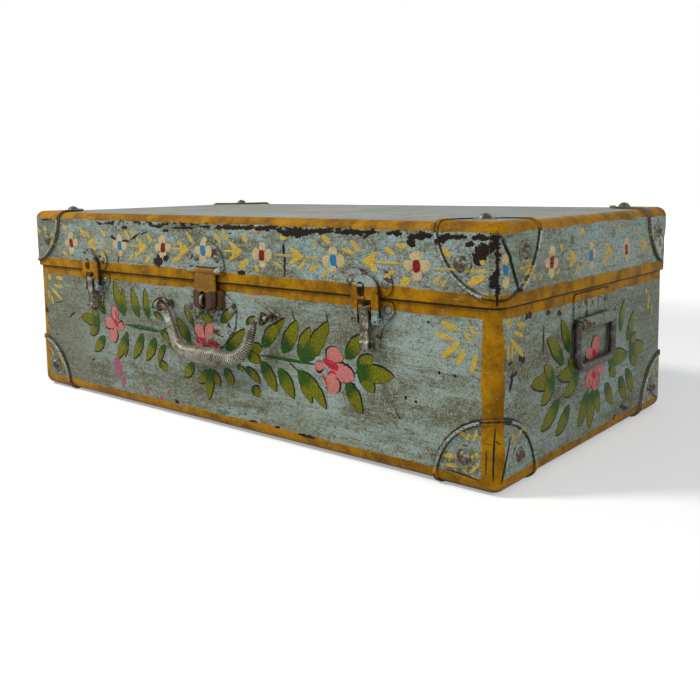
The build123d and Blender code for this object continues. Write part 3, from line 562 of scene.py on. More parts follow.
def worn_bead(name):
    """Bead finish: trunk paint in the bands, with the crest rubbed to pale metal."""
    material, tree = new_material(name)
    place = in_millimetres(tree)
    z = parts(place)[2]
    broken = even_grain(place, 0.16)
    fine = even_grain(place, 0.8)
    ochre = between(most(10.5 - z, z - 144.5), -0.5, 0.5)
    bright = blend(between(fine, 0.38, 0.66), (0.10, 0.10, 0.08, 1), (0.42, 0.43, 0.38, 1))
    rubbed = between(broken + ochre * -0.20, 0.42, 0.50)
    colour = blend(rubbed, blend(ochre, ENAMEL, OCHRE), bright)
    colour = blend(between(fine, 0.46, 0.37), colour, BARE)
    # Painted shade in the recesses beside the bead.
    colour = blend(occlusion_shade(tree, 2.5, 0.80, 0.45), colour, (0.015, 0.011, 0.008, 1))
    bump = bumped(broken, 0.5, 0.5)
    return surface(material, tree, colour, 0.40, bump, Metallic=rubbed * 0.30)


bead_finish = worn_bead("worn_bead")
bead_meshes = {}
for kind in ("base", "lid"):
    lines = [path for side in sides for path in bead_paths(kind, *side)]
    threads = line_mesh(f"{kind}_bead_lines", [line for line in lines if len(line) > 3])
    beads = grow(f"{kind}_cap_beads", threads, bead_tree, Material=bead_finish)
    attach(beads, kind)
    bead_meshes[kind] = beads.data

# ---- Painted flowers ----
# Oil paint brushed on over the enamel: a spray of leaves and pink flowers on each wall, a
# chain of rosettes and arrows round the lid, and gold ticks at the corners. Each dab is a
# thin skin of paint that lies on the tin and its hardware, and is chipped away in places.
LEAF = (0.170, 0.165, 0.003, 1)
LEAF_DEEP = (0.078, 0.082, 0.002, 1)
LEAF_GREEN = (0.009, 0.055, 0.005, 1)
LEAF_LIGHT = (0.30, 0.31, 0.10, 1)
INK = (0.010, 0.012, 0.008, 1)
PINK = (0.50, 0.190, 0.165, 1)
PINK_LIGHT = (0.64, 0.36, 0.31, 1)
PINK_DEEP = (0.38, 0.090, 0.085, 1)
CRIMSON = (0.48, 0.018, 0.040, 1)
CRIMSON_DEEP = (0.24, 0.008, 0.020, 1)
MAGENTA = (0.26, 0.030, 0.190, 1)
GOLD = (0.56, 0.40, 0.065, 1)
GOLD_DEEP = (0.36, 0.22, 0.02, 1)
GOLD_LIGHT = (0.80, 0.62, 0.22, 1)
CREAM = (0.56, 0.44, 0.24, 1)
CREAM_LIGHT = (0.72, 0.62, 0.42, 1)
CREAM_DEEP = (0.36, 0.26, 0.12, 1)
RED = (0.28, 0.014, 0.012, 1)
BLUE = (0.020, 0.150, 0.300, 1)
BLUE_LIGHT = (0.10, 0.30, 0.44, 1)
OLD_PINK = [(0.33, 0.24, 0.22, 1), (0.28, 0.20, 0.18, 1), (0.36, 0.30, 0.28, 1)]
OLD_LEAF = [(0.19, 0.20, 0.13, 1), (0.14, 0.15, 0.09, 1), (0.26, 0.27, 0.20, 1)]


def brushed_paint(name, full, deep, light, rub, seed=0.0, foot=None, ink=0.0):
    """A dab's paint: brush streaks along it, a darker foot, an inked edge, rubbed patches."""
    material, tree = new_material(name)
    place = in_millimetres(tree)
    laid = put(tree, "ShaderNodeUVMap", uv_map="dab")
    along, across = parts(laid)[:2]
    tone = put(tree, "ShaderNodeAttribute", take="Fac", attribute_name="tone")
    rim = put(tree, "ShaderNodeAttribute", take="Fac", attribute_name="rim")
    shifted = vector("ADD", place, (seed, seed, seed))
    combed = vector("ADD", vector("MULTIPLY", laid, (1.3, 6.0, 0.0)), shifted)
    settings = {"Vector": combed, "Scale": 1.0, "Detail": 3.0, "Roughness": 0.6}
    hair = put(tree, "ShaderNodeTexNoise", settings, take="Fac")
    fine = even_grain(shifted, 0.7, 4.0, 0.65)
    colour = blend(between(hair, 0.36, 0.60), deep, full)
    colour = blend(between(hair, 0.58, 0.74) * 0.6, colour, light)
    colour = blend(between(tone, 0.35, 1.0) * 0.30, colour, deep)
    if foot:
        low = between(along + fine * 0.5, 0.78, 0.50)
        colour = blend(low * 0.92, colour, foot)
        glint = between(fine, 0.62, 0.70) * between(along, 0.75, 0.30)
        colour = blend(glint, colour, light)
    if ink:
        drawn = rim + (fine - 0.5) * 1.2
        width = between(across, 0.30, 0.55) * (ink * 0.75) + ink * 0.25
        edge = between(drawn - width, 0.22, -0.12) * between(along, 0.06, 0.30)
        colour = blend(edge, colour, INK)
    gone = between(grain(place, (0.30, 0.30, 0.42), 6.0, 0.70), rub, rub + 0.035)
    colour = blend(gone * 0.85, colour, ENAMEL)
    bump = bumped(hair + fine * 0.4, 0.4, 0.3)
    return surface(material, tree, colour, 0.42, bump, Specular_IOR_Level=0.08)


paints = {
    "leaf": brushed_paint("leaf_paint", LEAF, LEAF_DEEP, LEAF_LIGHT, 0.66, 0.0, LEAF_GREEN, 1.25),
    "pink": brushed_paint("pink_paint", PINK, PINK_DEEP, PINK_LIGHT, 0.66, 7.0, None, 1.5),
    "crimson": brushed_paint("crimson_paint", CRIMSON, CRIMSON_DEEP, PINK, 0.62, 3.0),
    "magenta": brushed_paint("magenta_paint", MAGENTA, PINK_DEEP, PINK, 0.53, 4.0),
    "gold": brushed_paint("gold_paint", GOLD, GOLD_DEEP, GOLD_LIGHT, 0.555, 11.0),
    "cream": brushed_paint("cream_paint", CREAM, CREAM_DEEP, CREAM_LIGHT, 0.60, 5.0),
    "red": brushed_paint("red_paint", RED, BARE, CRIMSON, 0.70, 2.0),
    "blue": brushed_paint("blue_paint", BLUE, BLUE, BLUE_LIGHT, 0.66, 9.0),
    "stem": brushed_paint("stem_paint", LEAF_GREEN, LEAF_GREEN, LEAF, 0.58, 6.0),
    "ink": brushed_paint("ink_paint", INK, INK, INK, 0.62, 8.0),
    "bare": brushed_paint("bare_tin", BARE, BARE, RUST, 0.80, 1.0),
    "faded": brushed_paint("faded_pink", *OLD_PINK, 0.50),
    "faded_leaf": brushed_paint("faded_leaf", *OLD_LEAF, 0.52),
}
paint_order = list(paints)

# Each wall is painted in its own flat millimetres: first along, then up. Its last number is
# how far in from the brush the wall lies; what is deeper is seen through a rivet hole.
walls = {
    "front": (lambda u, v: Vector((u, -200, v)), Vector((0, 1, 0)), 82.0),
    "back": (lambda u, v: Vector((-u, 200, v)), Vector((0, -1, 0)), 82.0),
    "right": (lambda u, v: Vector((300, u, v)), Vector((-1, 0, 0)), 77.0),
    "left": (lambda u, v: Vector((-300, -u, v)), Vector((1, 0, 0)), 77.0),
    "top": (lambda u, v: Vector((u, v, 300)), Vector((0, 0, -1)), 153.0),
}
base_names = ["base_tray", "lock_plate", "catch_base_left", "catch_base_right"]
base_names += ["end_plate_left", "end_plate_right"]
lid_names = ["lid_shell", "hasp_plate", "catch_strike_left", "catch_strike_right"]
skins = {
    kind: search_tree(names + [cap_name(kind, *side) for side in sides], [bead_meshes[kind]])
    for kind, names in (("base", base_names), ("lid", lid_names))
}
STEEPEST = 0.45
BLOT_STEP = 0.55
SLACK = {"gold": 0.18, "cream": 0.20, "pink": 0.14}


def half_width(shape, share):
    """A dab's half width along its length, as a share of its widest."""
    if shape == "leaf":
        return math.sin(math.pi * share**0.88) ** 0.62
    if shape == "petal":
        return (1 - (2 * share - 1) ** 2) ** 0.50 * (0.78 + 0.22 * share)
    if shape in ("blot", "round"):
        return (1 - (2 * share - 1) ** 2) ** 0.50
    if shape == "head":
        return min(1.0, share / 0.08) * (1 - share) ** 0.8
    return (1 - (2 * share - 1) ** 6) ** 0.5 * (0.55 + 0.45 * math.sin(math.pi * share))


def outward(place):
    """Which way is out of the box at a place on it."""
    x, y, z = place / mm
    depth = [
        (abs(x) - HALF_LENGTH, Vector((x, 0, 0))),
        (abs(y) - HALF_WIDTH, Vector((0, y, 0))),
        (z - TOP_HEIGHT, Vector((0, 0, 1))),
    ]
    return max(depth, key=lambda item: item[0])[1].normalized()


class PaintLayer:
    """The dabs of one body, gathered into one mesh."""

    def __init__(self, body):
        self.body = body
        self.places, self.faces, self.uvs = [], [], []
        self.rims, self.tones, self.coats = [], [], []
        self.count = 0

    def dab(self, wall, coat, shape, foot, tip, width, bend=0.0, rows=12, columns=6):
        """Lay one dab from its foot to its tip; bend bows it to its left by that share."""
        self.count += 1
        aim, inward, deepest = walls[wall]
        reached = None
        foot, tip = Vector(foot), Vector(tip)
        run = tip - foot
        length = run.length
        left = Vector((-run.y, run.x)) / length
        tone = (math.sin(self.count * 12.9898) * 43758.5453) % 1.0
        lift = 0.12 + 0.0008 * (self.count % 90)
        grid = []
        for i in range(rows + 1):
            share = i / rows
            middle = foot + run * share + left * (length * bend * 4 * share * (1 - share))
            lean = run + left * (length * bend * 4 * (1 - 2 * share))
            lean.normalize()
            normal = Vector((-lean.y, lean.x))
            half = width / 2 * half_width(shape, 0.004 + 0.992 * share)
            row = []
            for j in range(columns + 1):
                offset = math.sin((2 * j / columns - 1) * math.pi / 2)
                seed = Vector((self.count * 3.7, share * length / 3.0, 5.0 if offset < 0 else 9.0))
                swing = SLACK.get(coat, 0.10) * 2.0 * noise.noise(seed)
                if shape == "blot":
                    swing = 0.90 * noise.fractal(seed * 1.1, 0.6, 2.1, 4)
                spot = middle + normal * (offset * half * max(0.15, 1 + swing))
                start = aim(spot.x, spot.y) * mm
                found, facing, _, away = skins[self.body].ray_cast(start, inward)
                if found is None:
                    return
                if away > deepest * mm:
                    if reached is None:
                        return
                    found, facing, away = start + inward * reached, -inward, reached
                if abs(facing.dot(inward)) < STEEPEST:
                    return
                reached = away
                inner = 0 < i < rows and 0 < j < columns
                if facing.dot(inward) > 0:
                    facing = -facing
                row.append(len(self.places))
                self.places.append(found + facing * (lift if inner else 0.01) * mm)
                self.rims.append(half * (1 - abs(offset)))
                self.tones.append(tone)
                self.uvs.append((share, (offset + 1) / 2))
            grid.append(row)
        for i in range(rows):
            for j in range(columns):
                self.faces.append((grid[i][j], grid[i][j + 1], grid[i + 1][j + 1], grid[i + 1][j]))
                self.coats.append(paint_order.index(coat))

    def spray(self, wall, dabs):
        """Lay a list of dabs: paint, shape, foot, tip, width and bend."""
        for coat, shape, foot, tip, width, bend in dabs:
            length = (Vector(tip) - Vector(foot)).length
            rows = max(14, int(length / BLOT_STEP)) if shape == "blot" else 12
            self.dab(wall, coat, shape, foot, tip, width, bend, rows)

    def finish(self, name):
        """Make the mesh, face it outwards and let it ride on its body."""
        mesh = bpy.data.meshes.new(name)
        mesh.from_pydata(self.places, [], self.faces)
        laid = mesh.uv_layers.new(name="dab")
        for loop in mesh.loops:
            laid.data[loop.index].uv = self.uvs[loop.vertex_index]
        for label, values in (("rim", self.rims), ("tone", self.tones)):
            stored = mesh.attributes.new(label, "FLOAT", "POINT")
            stored.data.foreach_set("value", values)
        for coat in paint_order:
            mesh.materials.append(paints[coat])
        mesh.polygons.foreach_set("material_index", self.coats)
        flip = bmesh.new()
        flip.from_mesh(mesh)
        inwards = [f for f in flip.faces if f.normal.dot(outward(f.calc_center_median())) < 0]
        bmesh.ops.reverse_faces(flip, faces=inwards)
        flip.to_mesh(mesh)
        flip.free()
        mesh.polygons.foreach_set("use_smooth", [True] * len(mesh.polygons))
        piece = bpy.data.objects.new(name, mesh)
        scene.collection.objects.link(piece)
        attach(piece, self.body)


def touch(foot, tip, width, bend=0.0, coat="gold", shape="tick"):
    """A single touch of the brush."""
    return (coat, shape, foot, tip, width, bend)


def leaf(foot, tip, width, bend=0.04):
    """A leaf, bowed a little."""
    return ("leaf", "leaf", foot, tip, width * 1.12, bend)


def petal(foot, tip, width, coat="pink"):
    """A flower petal."""
    return (coat, "petal", foot, tip, width * (1.22 if coat == "pink" else 1.0), 0.0)


def blot(middle, length, height, tilt=0.0, coat="bare"):
    """A patch of flaked paint, or a splash."""
    reach = Vector((math.cos(math.radians(tilt)), math.sin(math.radians(tilt)))) * (length / 2)
    middle = Vector(middle)
    return (coat, "blot", tuple(middle - reach), tuple(middle + reach), height, 0.0)


def many(make, rows, **same):
    """Dabs of one kind, from rows of the foot, the tip, the width and any bend."""
    return [make((a, b), (c, d), *rest, **same) for a, b, c, d, *rest in rows]


def blots(rows, **same):
    """Blots, from rows of the middle, the length, the height and any tilt."""
    return [blot((u, v), *rest, **same) for u, v, *rest in rows]


def rosette(middle, heart, reach=(9.5, 9.0), worn=()):
    """Four cream petals round a coloured heart."""
    u, v = middle
    dabs = []
    for number, (du, dv) in enumerate(((-1, 0), (1, 0), (0, 1), (0, -1))):
        if number not in worn:
            turn = 1.2 * math.sin(u * 1.7 + number * 2.1)
            far = (u + du * reach[0] + dv * turn, v + dv * reach[1] + du * turn)
            width = 7.6 + 1.2 * math.sin(u * 0.9 + number * 1.3)
            dabs.append(petal((u + du * 1.4, v + dv * 1.4), far, width, "cream"))
    tilt = 1.2 * math.sin(u * 2.3)
    dabs.append((heart, "round", (u - tilt, v - 4.4), (u + tilt, v + 4.2), 6.2, 0.0))
    return dabs


def arrow(tail, tip, height, spread=5.5):
    """A shaft with a barbed head at its tip."""
    way = 1 if tip > tail else -1
    back = tip - way * 10
    foot, neck = back - way * 2.5, back + way * 5
    return [
        touch((tail, height), (tip - way * 4, height), 1.6),
        touch((back, height), (tip, height), spread * 2.2, shape="head"),
        touch((foot, height + spread + 0.6), (neck, height + 1.6), 3.0),
        touch((foot, height - spread - 0.6), (neck, height - 1.6), 3.0),
    ]


front_spray = (
    many(touch, [
        (-103.5, 63.6, -61, 62.2, 3.2), (-62, 62.5, -52, 67, 1.6, -0.06),
        (44, 57.5, 95, 57.5, 2.3),
    ], coat="stem")
    + many(leaf, [(-129, 70, -141, 81, 7)])
    + many(touch, [(-140.5, 80, -151.5, 88.5, 1.4)], coat="ink")
    + many(leaf, [
        (-105, 70, -105.5, 92, 6.5), (-104, 70, -117.5, 97, 9), (-86, 70.5, -94.5, 93, 8.6),
        (-74, 70.5, -78, 94, 7.6), (-70.5, 79, -56.5, 88.5, 4.5), (-69, 76, -57, 71, 5),
        (-139.5, 62, -147.5, 73.5, 8.5), (-139.5, 61, -153.5, 50.5, 9),
        (-137, 62, -165, 64.5, 9.5, 0), (-132, 51.5, -148, 37, 8.8),
        (-103, 57, -106.5, 37, 5.4), (-101.5, 58, -118, 34, 8.6),
        (-82.5, 59, -95.5, 37.5, 8.8), (-67, 57, -80, 38, 8.8),
        (-55, 53, -64.5, 36, 6.5, -0.1),
    ])
    + many(touch, [(-65, 38, -53.5, 36, 9)], coat="leaf", shape="petal")
    + many(leaf, [
        (-61.5, 62.5, -50.5, 56.5, 6.6), (-52.5, 54.5, -44.5, 50.5, 5),
        (-26.5, 58.5, -41.5, 74.5, 9, 0.02), (-21, 70, -32, 85, 7),
    ])
    + blots([(-8, 78.5, 16, 7, -10)], coat="leaf")
    + many(leaf, [
        (7, 76, 22.5, 86.5, 7.4), (10, 57.5, 30, 74, 8, -0.05), (31.5, 76.5, 41, 83, 5),
        (31, 58, 47, 63, 9), (31, 57, 45, 52.5, 8),
    ])
    + blots([(25, 47, 8, 5, -20)], coat="leaf")
    + many(leaf, [
        (-24, 43.5, -35.5, 31.5, 8.4), (-7, 40.5, -19, 29.5, 7.6), (-5, 40.5, 4, 30.5, 7.2),
        (-6.2, 42, -8.3, 18.5, 9, 0), (8, 43, 18, 33.5, 8.6), (28.5, 46, 44, 37.5, 7, 0.12),
    ])
    + many(touch, [(34.5, 32.5, 44.5, 32, 9.5)], coat="leaf", shape="petal")
    + many(leaf, [
        (45, 53, 59, 34.5, 10), (61, 50.5, 74.8, 32, 10), (79, 50, 90.5, 31.5, 8),
        (78, 51.5, 103, 30, 10, 0.06),
    ])
    + many(touch, [(70, 57, 79, 51, 1)], coat="ink")
    + many(leaf, [(118.5, 49, 131.5, 32, 9.6)])
    + many(touch, [(114, 52.5, 119.5, 48, 1)], coat="ink")
    + many(leaf, [
        (52, 65, 68, 85, 6.4), (47, 63, 63.5, 81, 9), (65, 61.5, 78.2, 84.5, 10.6, -0.04),
    ])
    + many(touch, [(77.6, 83, 74.6, 89.5, 1, 0.05)], coat="ink")
    + many(leaf, [(80.5, 59, 90, 81, 9), (80.5, 58.5, 105, 86.5, 11.5, -0.06)])
    + many(touch, [(104.6, 85, 104, 91, 1)], coat="ink")
    + many(leaf, [
        (119, 64, 133.5, 80.5, 9.4), (128.5, 58, 141, 46, 10), (128.5, 58, 140.5, 68.5, 10),
        (127, 57.5, 156, 58.5, 11, 0),
    ])
    + many(touch, [(122, 54.5, 129, 57.5, 1)], coat="ink")
    + many(petal, [
        (-118, 62, -121.5, 47, 11), (-116, 62, -131.5, 63, 10.5),
        (-116.5, 63, -119.5, 77, 9.5), (-114, 61.5, -106, 62, 7.5),
    ])
    + many(petal, [(-119.5, 67, -113.5, 60.5, 4.6)], coat="crimson")
    + many(touch, [(-118, 74, -115, 66, 2.2, 0.1)], coat="crimson")
    + many(petal, [
        (-11, 62, -19.5, 72, 9.5), (-7.5, 62, -4.5, 74.5, 9.5), (-6, 60, 6, 56, 8),
        (-12, 60, -21, 57, 7),
    ])
    + many(petal, [
        (-9, 62, -21, 59.5, 5.4), (-7, 62, 4, 58, 5.6), (-13, 59, -4, 57, 6),
    ], coat="crimson")
    + many(petal, [
        (107, 57, 111, 70.5, 13.5), (106.5, 54, 110.5, 41, 12), (105, 58, 126, 53.5, 11.5),
        (102, 57, 93.5, 56, 7),
    ])
    + many(petal, [(100, 61.5, 114, 57, 6.4)], coat="crimson")
    + many(touch, [(103.5, 51, 112, 52.5, 1.8, 0.35), (99, 53, 104, 45.5, 1.6)], coat="crimson")
    + blots([
        (-116.5, 28, 16, 9, 100), (-110, 17, 10, 6, 80), (-80, 14, 6, 3, 80),
        (-63, 12, 4, 2.4, 60), (-54, 16, 5, 4, 20),
    ], coat="magenta")
)
front_gold = many(touch, [
    (-212, 95, -206.5, 92.5, 4.5), (-200, 94.6, -189, 93.4, 3),
    (-203, 87.6, -190, 86.4, 2.8), (-206.7, 85, -191.5, 75.5, 3),
    (-208, 78, -205, 71, 3.2), (-212, 83, -211, 75, 2.6), (188, 93.4, 199.5, 90.2, 3.6),
    (184, 87, 197.5, 84.6, 2.8), (200.5, 83.6, 188.5, 73.6, 3.8),
    (203.8, 80, 198.8, 70.6, 3.8), (211, 78.4, 208, 67.4, 3.4),
    (203.5, 91, 210, 85.4, 1.7, -0.24), (207, 94, 212.5, 88.5, 2.2, -0.2),
    (191.5, 27, 195.5, 28.2, 3), (200.5, 33.8, 204.5, 32.6, 2.6),
    (190, 18, 199.5, 19.6, 2.6), (191.5, 13.2, 200, 13.8, 2.2),
    (205, 16.5, 202, 11.6, 1.6, 0.3), (213.5, 18.4, 207.5, 11.4, 2.4),
    (213, 23.6, 208.5, 20.2, 2.4), (212, 36.5, 210, 29.5, 2.2), (207.5, 34, 205, 29.5, 2),
    (-212, 33, -208, 26, 2.2), (-205, 22, -198, 15, 2.6), (-199, 28, -194, 21, 2.2),
])
end_spray = (
    many(leaf, [
        (-21, 52, -52, 54.5, 9.5, 0), (-22, 51, -42.5, 40.5, 9), (-22, 53, -37, 62.5, 8),
        (-54.5, 54.5, -84.5, 55.5, 10.5, 0), (-55, 55, -68.5, 64.5, 8.6),
        (-55, 53.5, -72, 42, 9.6), (-44, 60.5, -65.5, 80, 9.4, -0.04),
        (-35.5, 67, -48, 88.5, 9, -0.03), (-48, 41, -72, 26.5, 9.8, 0.05),
        (-34.5, 34.5, -53, 19, 9.8, 0.06), (-8, 38, -22, 17, 11), (0, 38, -6, 12, 11, 0),
        (4, 37, 10, 20, 9, -0.05), (-20, 66, -29, 84, 7), (-6, 72, -4, 93, 9, 0),
        (8, 72, 16, 90, 8), (21, 68, 33, 86, 7), (41.5, 68, 48, 90, 8.2),
        (53, 60.5, 65.5, 80.5, 9.8, -0.04), (21, 52, 56, 50, 11, 0.03),
        (24, 50, 34.5, 38.5, 9), (58, 52.5, 70.5, 64, 9), (58, 52, 71, 40, 9.4),
        (57, 52.5, 85.5, 52.5, 10.5, 0), (52, 40.5, 65, 22, 9, 0.05),
        (40.5, 37, 53, 18, 9.6, 0.05), (17.5, 37, 30, 20, 9, 0.05),
    ])
    + many(touch, [(-58, 55, -46, 55, 1.6), (44, 52, 60, 52, 1.6)], coat="stem")
    + many(petal, [
        (0, 58, 4, 72, 13), (-2, 58, -13, 64, 10), (4, 53, 16, 47, 11), (1, 50, 5, 35, 11),
        (-2, 50, -10, 39, 11),
    ])
    + many(petal, [(-3, 63, 4, 57, 6), (-4, 48, 4, 45, 6)], coat="crimson")
    + many(touch, [(-6, 45, -10, 38, 1.8), (4, 44, 5, 37, 1.6)], coat="crimson")
)
end_gold = (
    # The two dark lines along the base caps' folds on each end are painted shade.
    many(touch, [(-116.4, 7, -108.2, 33, 1.5, 0.03), (89, 20.5, 114.5, 6, 1.4)], coat="ink")
    + many(touch, [
        (-113, 96.5, -107, 93.5, 4.2), (-101.5, 93.4, -90.5, 91.2, 3.2),
        (-104.7, 89.4, -93.5, 85.8, 2.8), (-108.6, 87, -92.4, 73.4, 3.6),
        (-110.6, 84, -110.2, 74.5, 2.6), (-105.8, 83, -106.2, 75, 2.4),
        (84.5, 92.5, 89.5, 89.5, 3), (93, 87, 91, 81, 2.6), (90, 82, 92, 77, 2.2),
        (98, 79.5, 99.5, 72.5, 2.2), (-106.5, 34, -103.5, 26, 2.6),
        (-101, 19.5, -92.6, 27, 3.4), (-100.5, 16.6, -90.5, 17.6, 2.6),
        (-96, 34.5, -98.5, 30, 2.2), (103.5, 33, 106, 26, 2.6), (109.5, 34, 111.5, 27, 2.4),
        (92, 16.5, 95.5, 9.6, 2.2), (97.5, 14.6, 100.5, 10.4, 2),
    ])
)
lid_front_chain = (
    rosette((-170, 124.6), "red") + rosette((-104, 125), "blue", (9.0, 8.5))
    + rosette((-51.5, 125.5), "red") + rosette((-6, 125.4), "blue", (9.0, 9.5))
    + rosette((50.5, 124.6), "red", (9.0, 8.5)) + rosette((112, 124.6), "blue", (9.0, 8.0))
    + rosette((173.5, 124.2), "red", (9.0, 8.5)) + arrow(-194, -206, 127, 3.6)
    + arrow(-118, -147, 125.4, 4.6) + arrow(-96, -70, 125.2) + arrow(-44, -22, 125.2, 4.6)
    + arrow(12, 32, 126.0) + arrow(62, 88, 125.4, 4.4) + arrow(163, 134, 125.0, 5.0)
    + many(touch, [
        (88, 125.4, 101, 125.2, 1.3), (186, 123.6, 222, 123.8, 2),
        (-157.5, 137, -148.5, 130, 3.6), (-149.5, 134.5, -143, 129.5, 2.8),
        (-128, 136.5, -122, 131, 3), (-98, 136.5, -91, 130.5, 3.6),
        (-90, 138, -86, 131.5, 2.8), (-70, 135, -63.5, 129, 3.4), (-25, 138, -17.5, 130, 3),
        (5, 138, 11.5, 130.5, 3.2), (13, 139.5, 18.5, 133, 4), (33, 137.5, 36.5, 132, 3.6),
        (42, 141, 49, 140, 2.4), (67, 136, 74, 137, 2.6), (95, 135, 98, 131.5, 2.6),
        (103, 139, 110, 134.5, 3.4), (119, 131.5, 129, 129, 2.6), (125.5, 137, 133, 131, 3.2),
        (151, 133.5, 158.5, 130, 3), (159.5, 136.5, 167, 136, 3, -0.18),
        (191, 135, 196.5, 130, 3.4), (211, 131.5, 218, 127.5, 3.4),
        (-221, 137, -214.5, 131.5, 3), (-209, 137, -204.5, 132, 2.6),
        (-188.5, 136, -187, 129, 2.6), (-181, 140, -174, 137.5, 3, -0.3),
        (-185, 118, -176, 114, 2.4), (-128.5, 118.5, -122.5, 114.5, 4.4),
        (-125, 120.8, -117, 119, 2), (-93, 113.5, -87, 120, 2.6),
        (-84.5, 121, -81.5, 114.5, 3.2), (-73.5, 113.5, -64, 120.5, 3.6),
        (-42, 115.5, -30.5, 120, 3.4), (-38, 115.5, -35, 119.5, 2.2),
    ])
    + many(touch, [(27.5, 115.5, 39, 120.5, 5.6)], shape="leaf")
    + many(touch, [
        (44, 118, 46.5, 113.5, 3), (61, 121, 69, 117.5, 2.2), (83, 117, 89.5, 123.5, 2.6),
        (91.5, 116.5, 100.5, 121, 2.8), (103, 113.5, 107.5, 118.5, 3.2),
        (151.5, 116.5, 159, 121, 2.6), (162, 113.5, 169.5, 116.5, 4.6),
        (185, 115.5, 190, 119.5, 2.4), (190, 113.5, 193.5, 117.5, 2.4),
    ])
    + many(touch, [(207, 116, 218.5, 121.5, 4.4)], shape="leaf")
)
lid_end_chain = (
    many(petal, [
        (-115.8, 127, -115.9, 133.6, 4.4), (-115.8, 121, -115.9, 114.6, 4.4),
    ], coat="cream")
    + many(touch, [(-115.9, 126.6, -115.9, 121.6, 3.4)], coat="blue", shape="round")
    + rosette((-65, 124.6), "red", (8.0, 9.5)) + rosette((-12, 124.2), "blue", (7.0, 9.0), (0,))
    + rosette((43.3, 124), "red", (6.0, 8.5)) + rosette((103, 125), "blue", (7.0, 8.5))
    # Dark lines along one edge of each lid cap's pointed flap: painted shadow.
    + many(touch, [
        (-119.4, 143.8, -103.6, 111.6, 1.9, -0.02), (97, 143, 117.5, 112, 1.6, 0.04),
    ], coat="ink")
    + arrow(-47, -31, 124.6, 4.4) + arrow(6, 21, 124.6, 4.6) + arrow(66, 81, 124.6, 4.6)
    + arrow(-98, -86, 124.6, 3.6)
    + many(touch, [
        (-105, 124.2, -96, 124.2, 1.6), (-100, 140, -97, 133, 2.6), (-88, 139, -83.5, 133, 3),
        (-101, 118.5, -99, 113.5, 2.4), (-90, 119.5, -84, 116.5, 3), (-80, 115, -77, 119, 2.4),
        (-28.5, 136.5, -22, 137.5, 3, 0.5), (-55, 134, -51, 130, 2.6),
        (-59, 116, -55.5, 120.5, 2.6), (-34, 115, -29.5, 119.5, 3), (-24, 117, -20, 120, 2.4),
        (28.5, 141, 33, 137, 3), (5, 120, 11, 115.5, 3), (24, 117, 28, 121, 2.2),
        (57.5, 136, 62, 132, 2.6), (52, 118, 56, 121, 2.4), (84, 131, 88, 135, 3),
        (84, 118, 90, 121, 2.8),
    ])
)
lid_front_flakes = blots([
    (-57.5, 116, 11, 7.4), (-48.5, 118, 7, 4.2, 20), (170.5, 138, 7, 6.4, 70),
    (190, 139, 6.4, 4.6), (216.5, 135, 10, 7.2, 30), (203, 141.6, 8, 2.4),
    (214, 141.8, 9, 3, 10), (-112, 131, 7, 2.6, -20), (-96, 128.8, 10, 2),
    (-84, 132.6, 13, 1.7, 26), (-73, 135.6, 8, 1.3, 20), (-97, 139, 8, 2.4),
    (-118, 142, 12, 1.8, 4), (-130, 141.6, 8, 2.2, -10), (-81, 143.3, 9, 1.6),
    (-59, 140.8, 15, 2.2, -4), (-47.5, 138, 7, 2.4, 10), (-28, 140.4, 26, 1.8, 2),
    (-5, 141.6, 12, 1.8), (28, 142, 36, 2.6, 1), (54, 142.4, 20, 3.2, 4),
    (70, 140.2, 12, 3.4, -20), (84, 140.6, 26, 5, 3), (104, 142, 18, 3),
    (126, 141.8, 26, 2.6, 2), (138, 140.4, 6, 2.6, 40), (-190, 141.8, 13, 4.6),
    (-204, 143, 16, 1.8), (71, 122, 21, 1.9, 90), (70.4, 130, 7, 2.4, 80),
    (31, 112, 8, 2.6), (-106.5, 114, 5, 1.6, 85), (221.6, 118.5, 8, 3, 86),
    (215.5, 132.6, 13, 8.6, 60), (208.6, 137.6, 6, 3, 10), (219.6, 141.2, 11, 3.6, 6),
    (196, 141.4, 12, 3.6, -4), (176, 141.6, 16, 4, 3), (158, 142, 12, 3),
    (221.4, 137, 8, 3, 70),
])
end_flakes = blots([
    (-88, 96, 9, 3.8, 14), (-65, 95, 3.4, 4.6, 80), (-50.5, 93, 3.4, 5, 80),
    (-23.5, 96, 4, 5, 80), (15, 97, 4, 3.4), (-70, 80, 17, 1.4, 88),
    (-108, 73, 5, 1.8, 10), (-95, 73.6, 8, 5, -30), (-107, 62.6, 11, 3.2, 70),
    (-104, 66, 8, 2.4, 10), (51, 14, 16, 3.4, -20), (34, 11, 5, 1.8, 50),
])
front_flakes = (
    many(touch, [
        (221.6, 8, 222.4, 40, 0.9, 0.01), (222.6, 46, 221.9, 94, 0.6, -0.01),
        (217.6, 12, 218, 27, 0.6), (190, 10.2, 214, 8.2, 0.9, 0.03),
    ], coat="ink")
    + blots([
        (187, 65, 2, 2), (197.5, 64.4, 2, 1.6), (180, 93, 2.2, 1.4), (163.8, 47, 1.8, 1.8),
        (171, 45.6, 1.8, 1.8), (158, 36, 7, 0.9, -60), (-177.5, 64.5, 11, 1.6, 28),
        (-216, 65, 4, 5), (-197, 73.6, 13, 0.8, 14), (-44.5, 11.5, 5, 2.4, -20),
        (59, 10.6, 5, 1.8), (85, 9.6, 15, 1.8), (36, 10.6, 9, 1.6), (124, 49.6, 5, 1.6, -20),
        (-150, 30, 6, 1, 15),
    ])
)
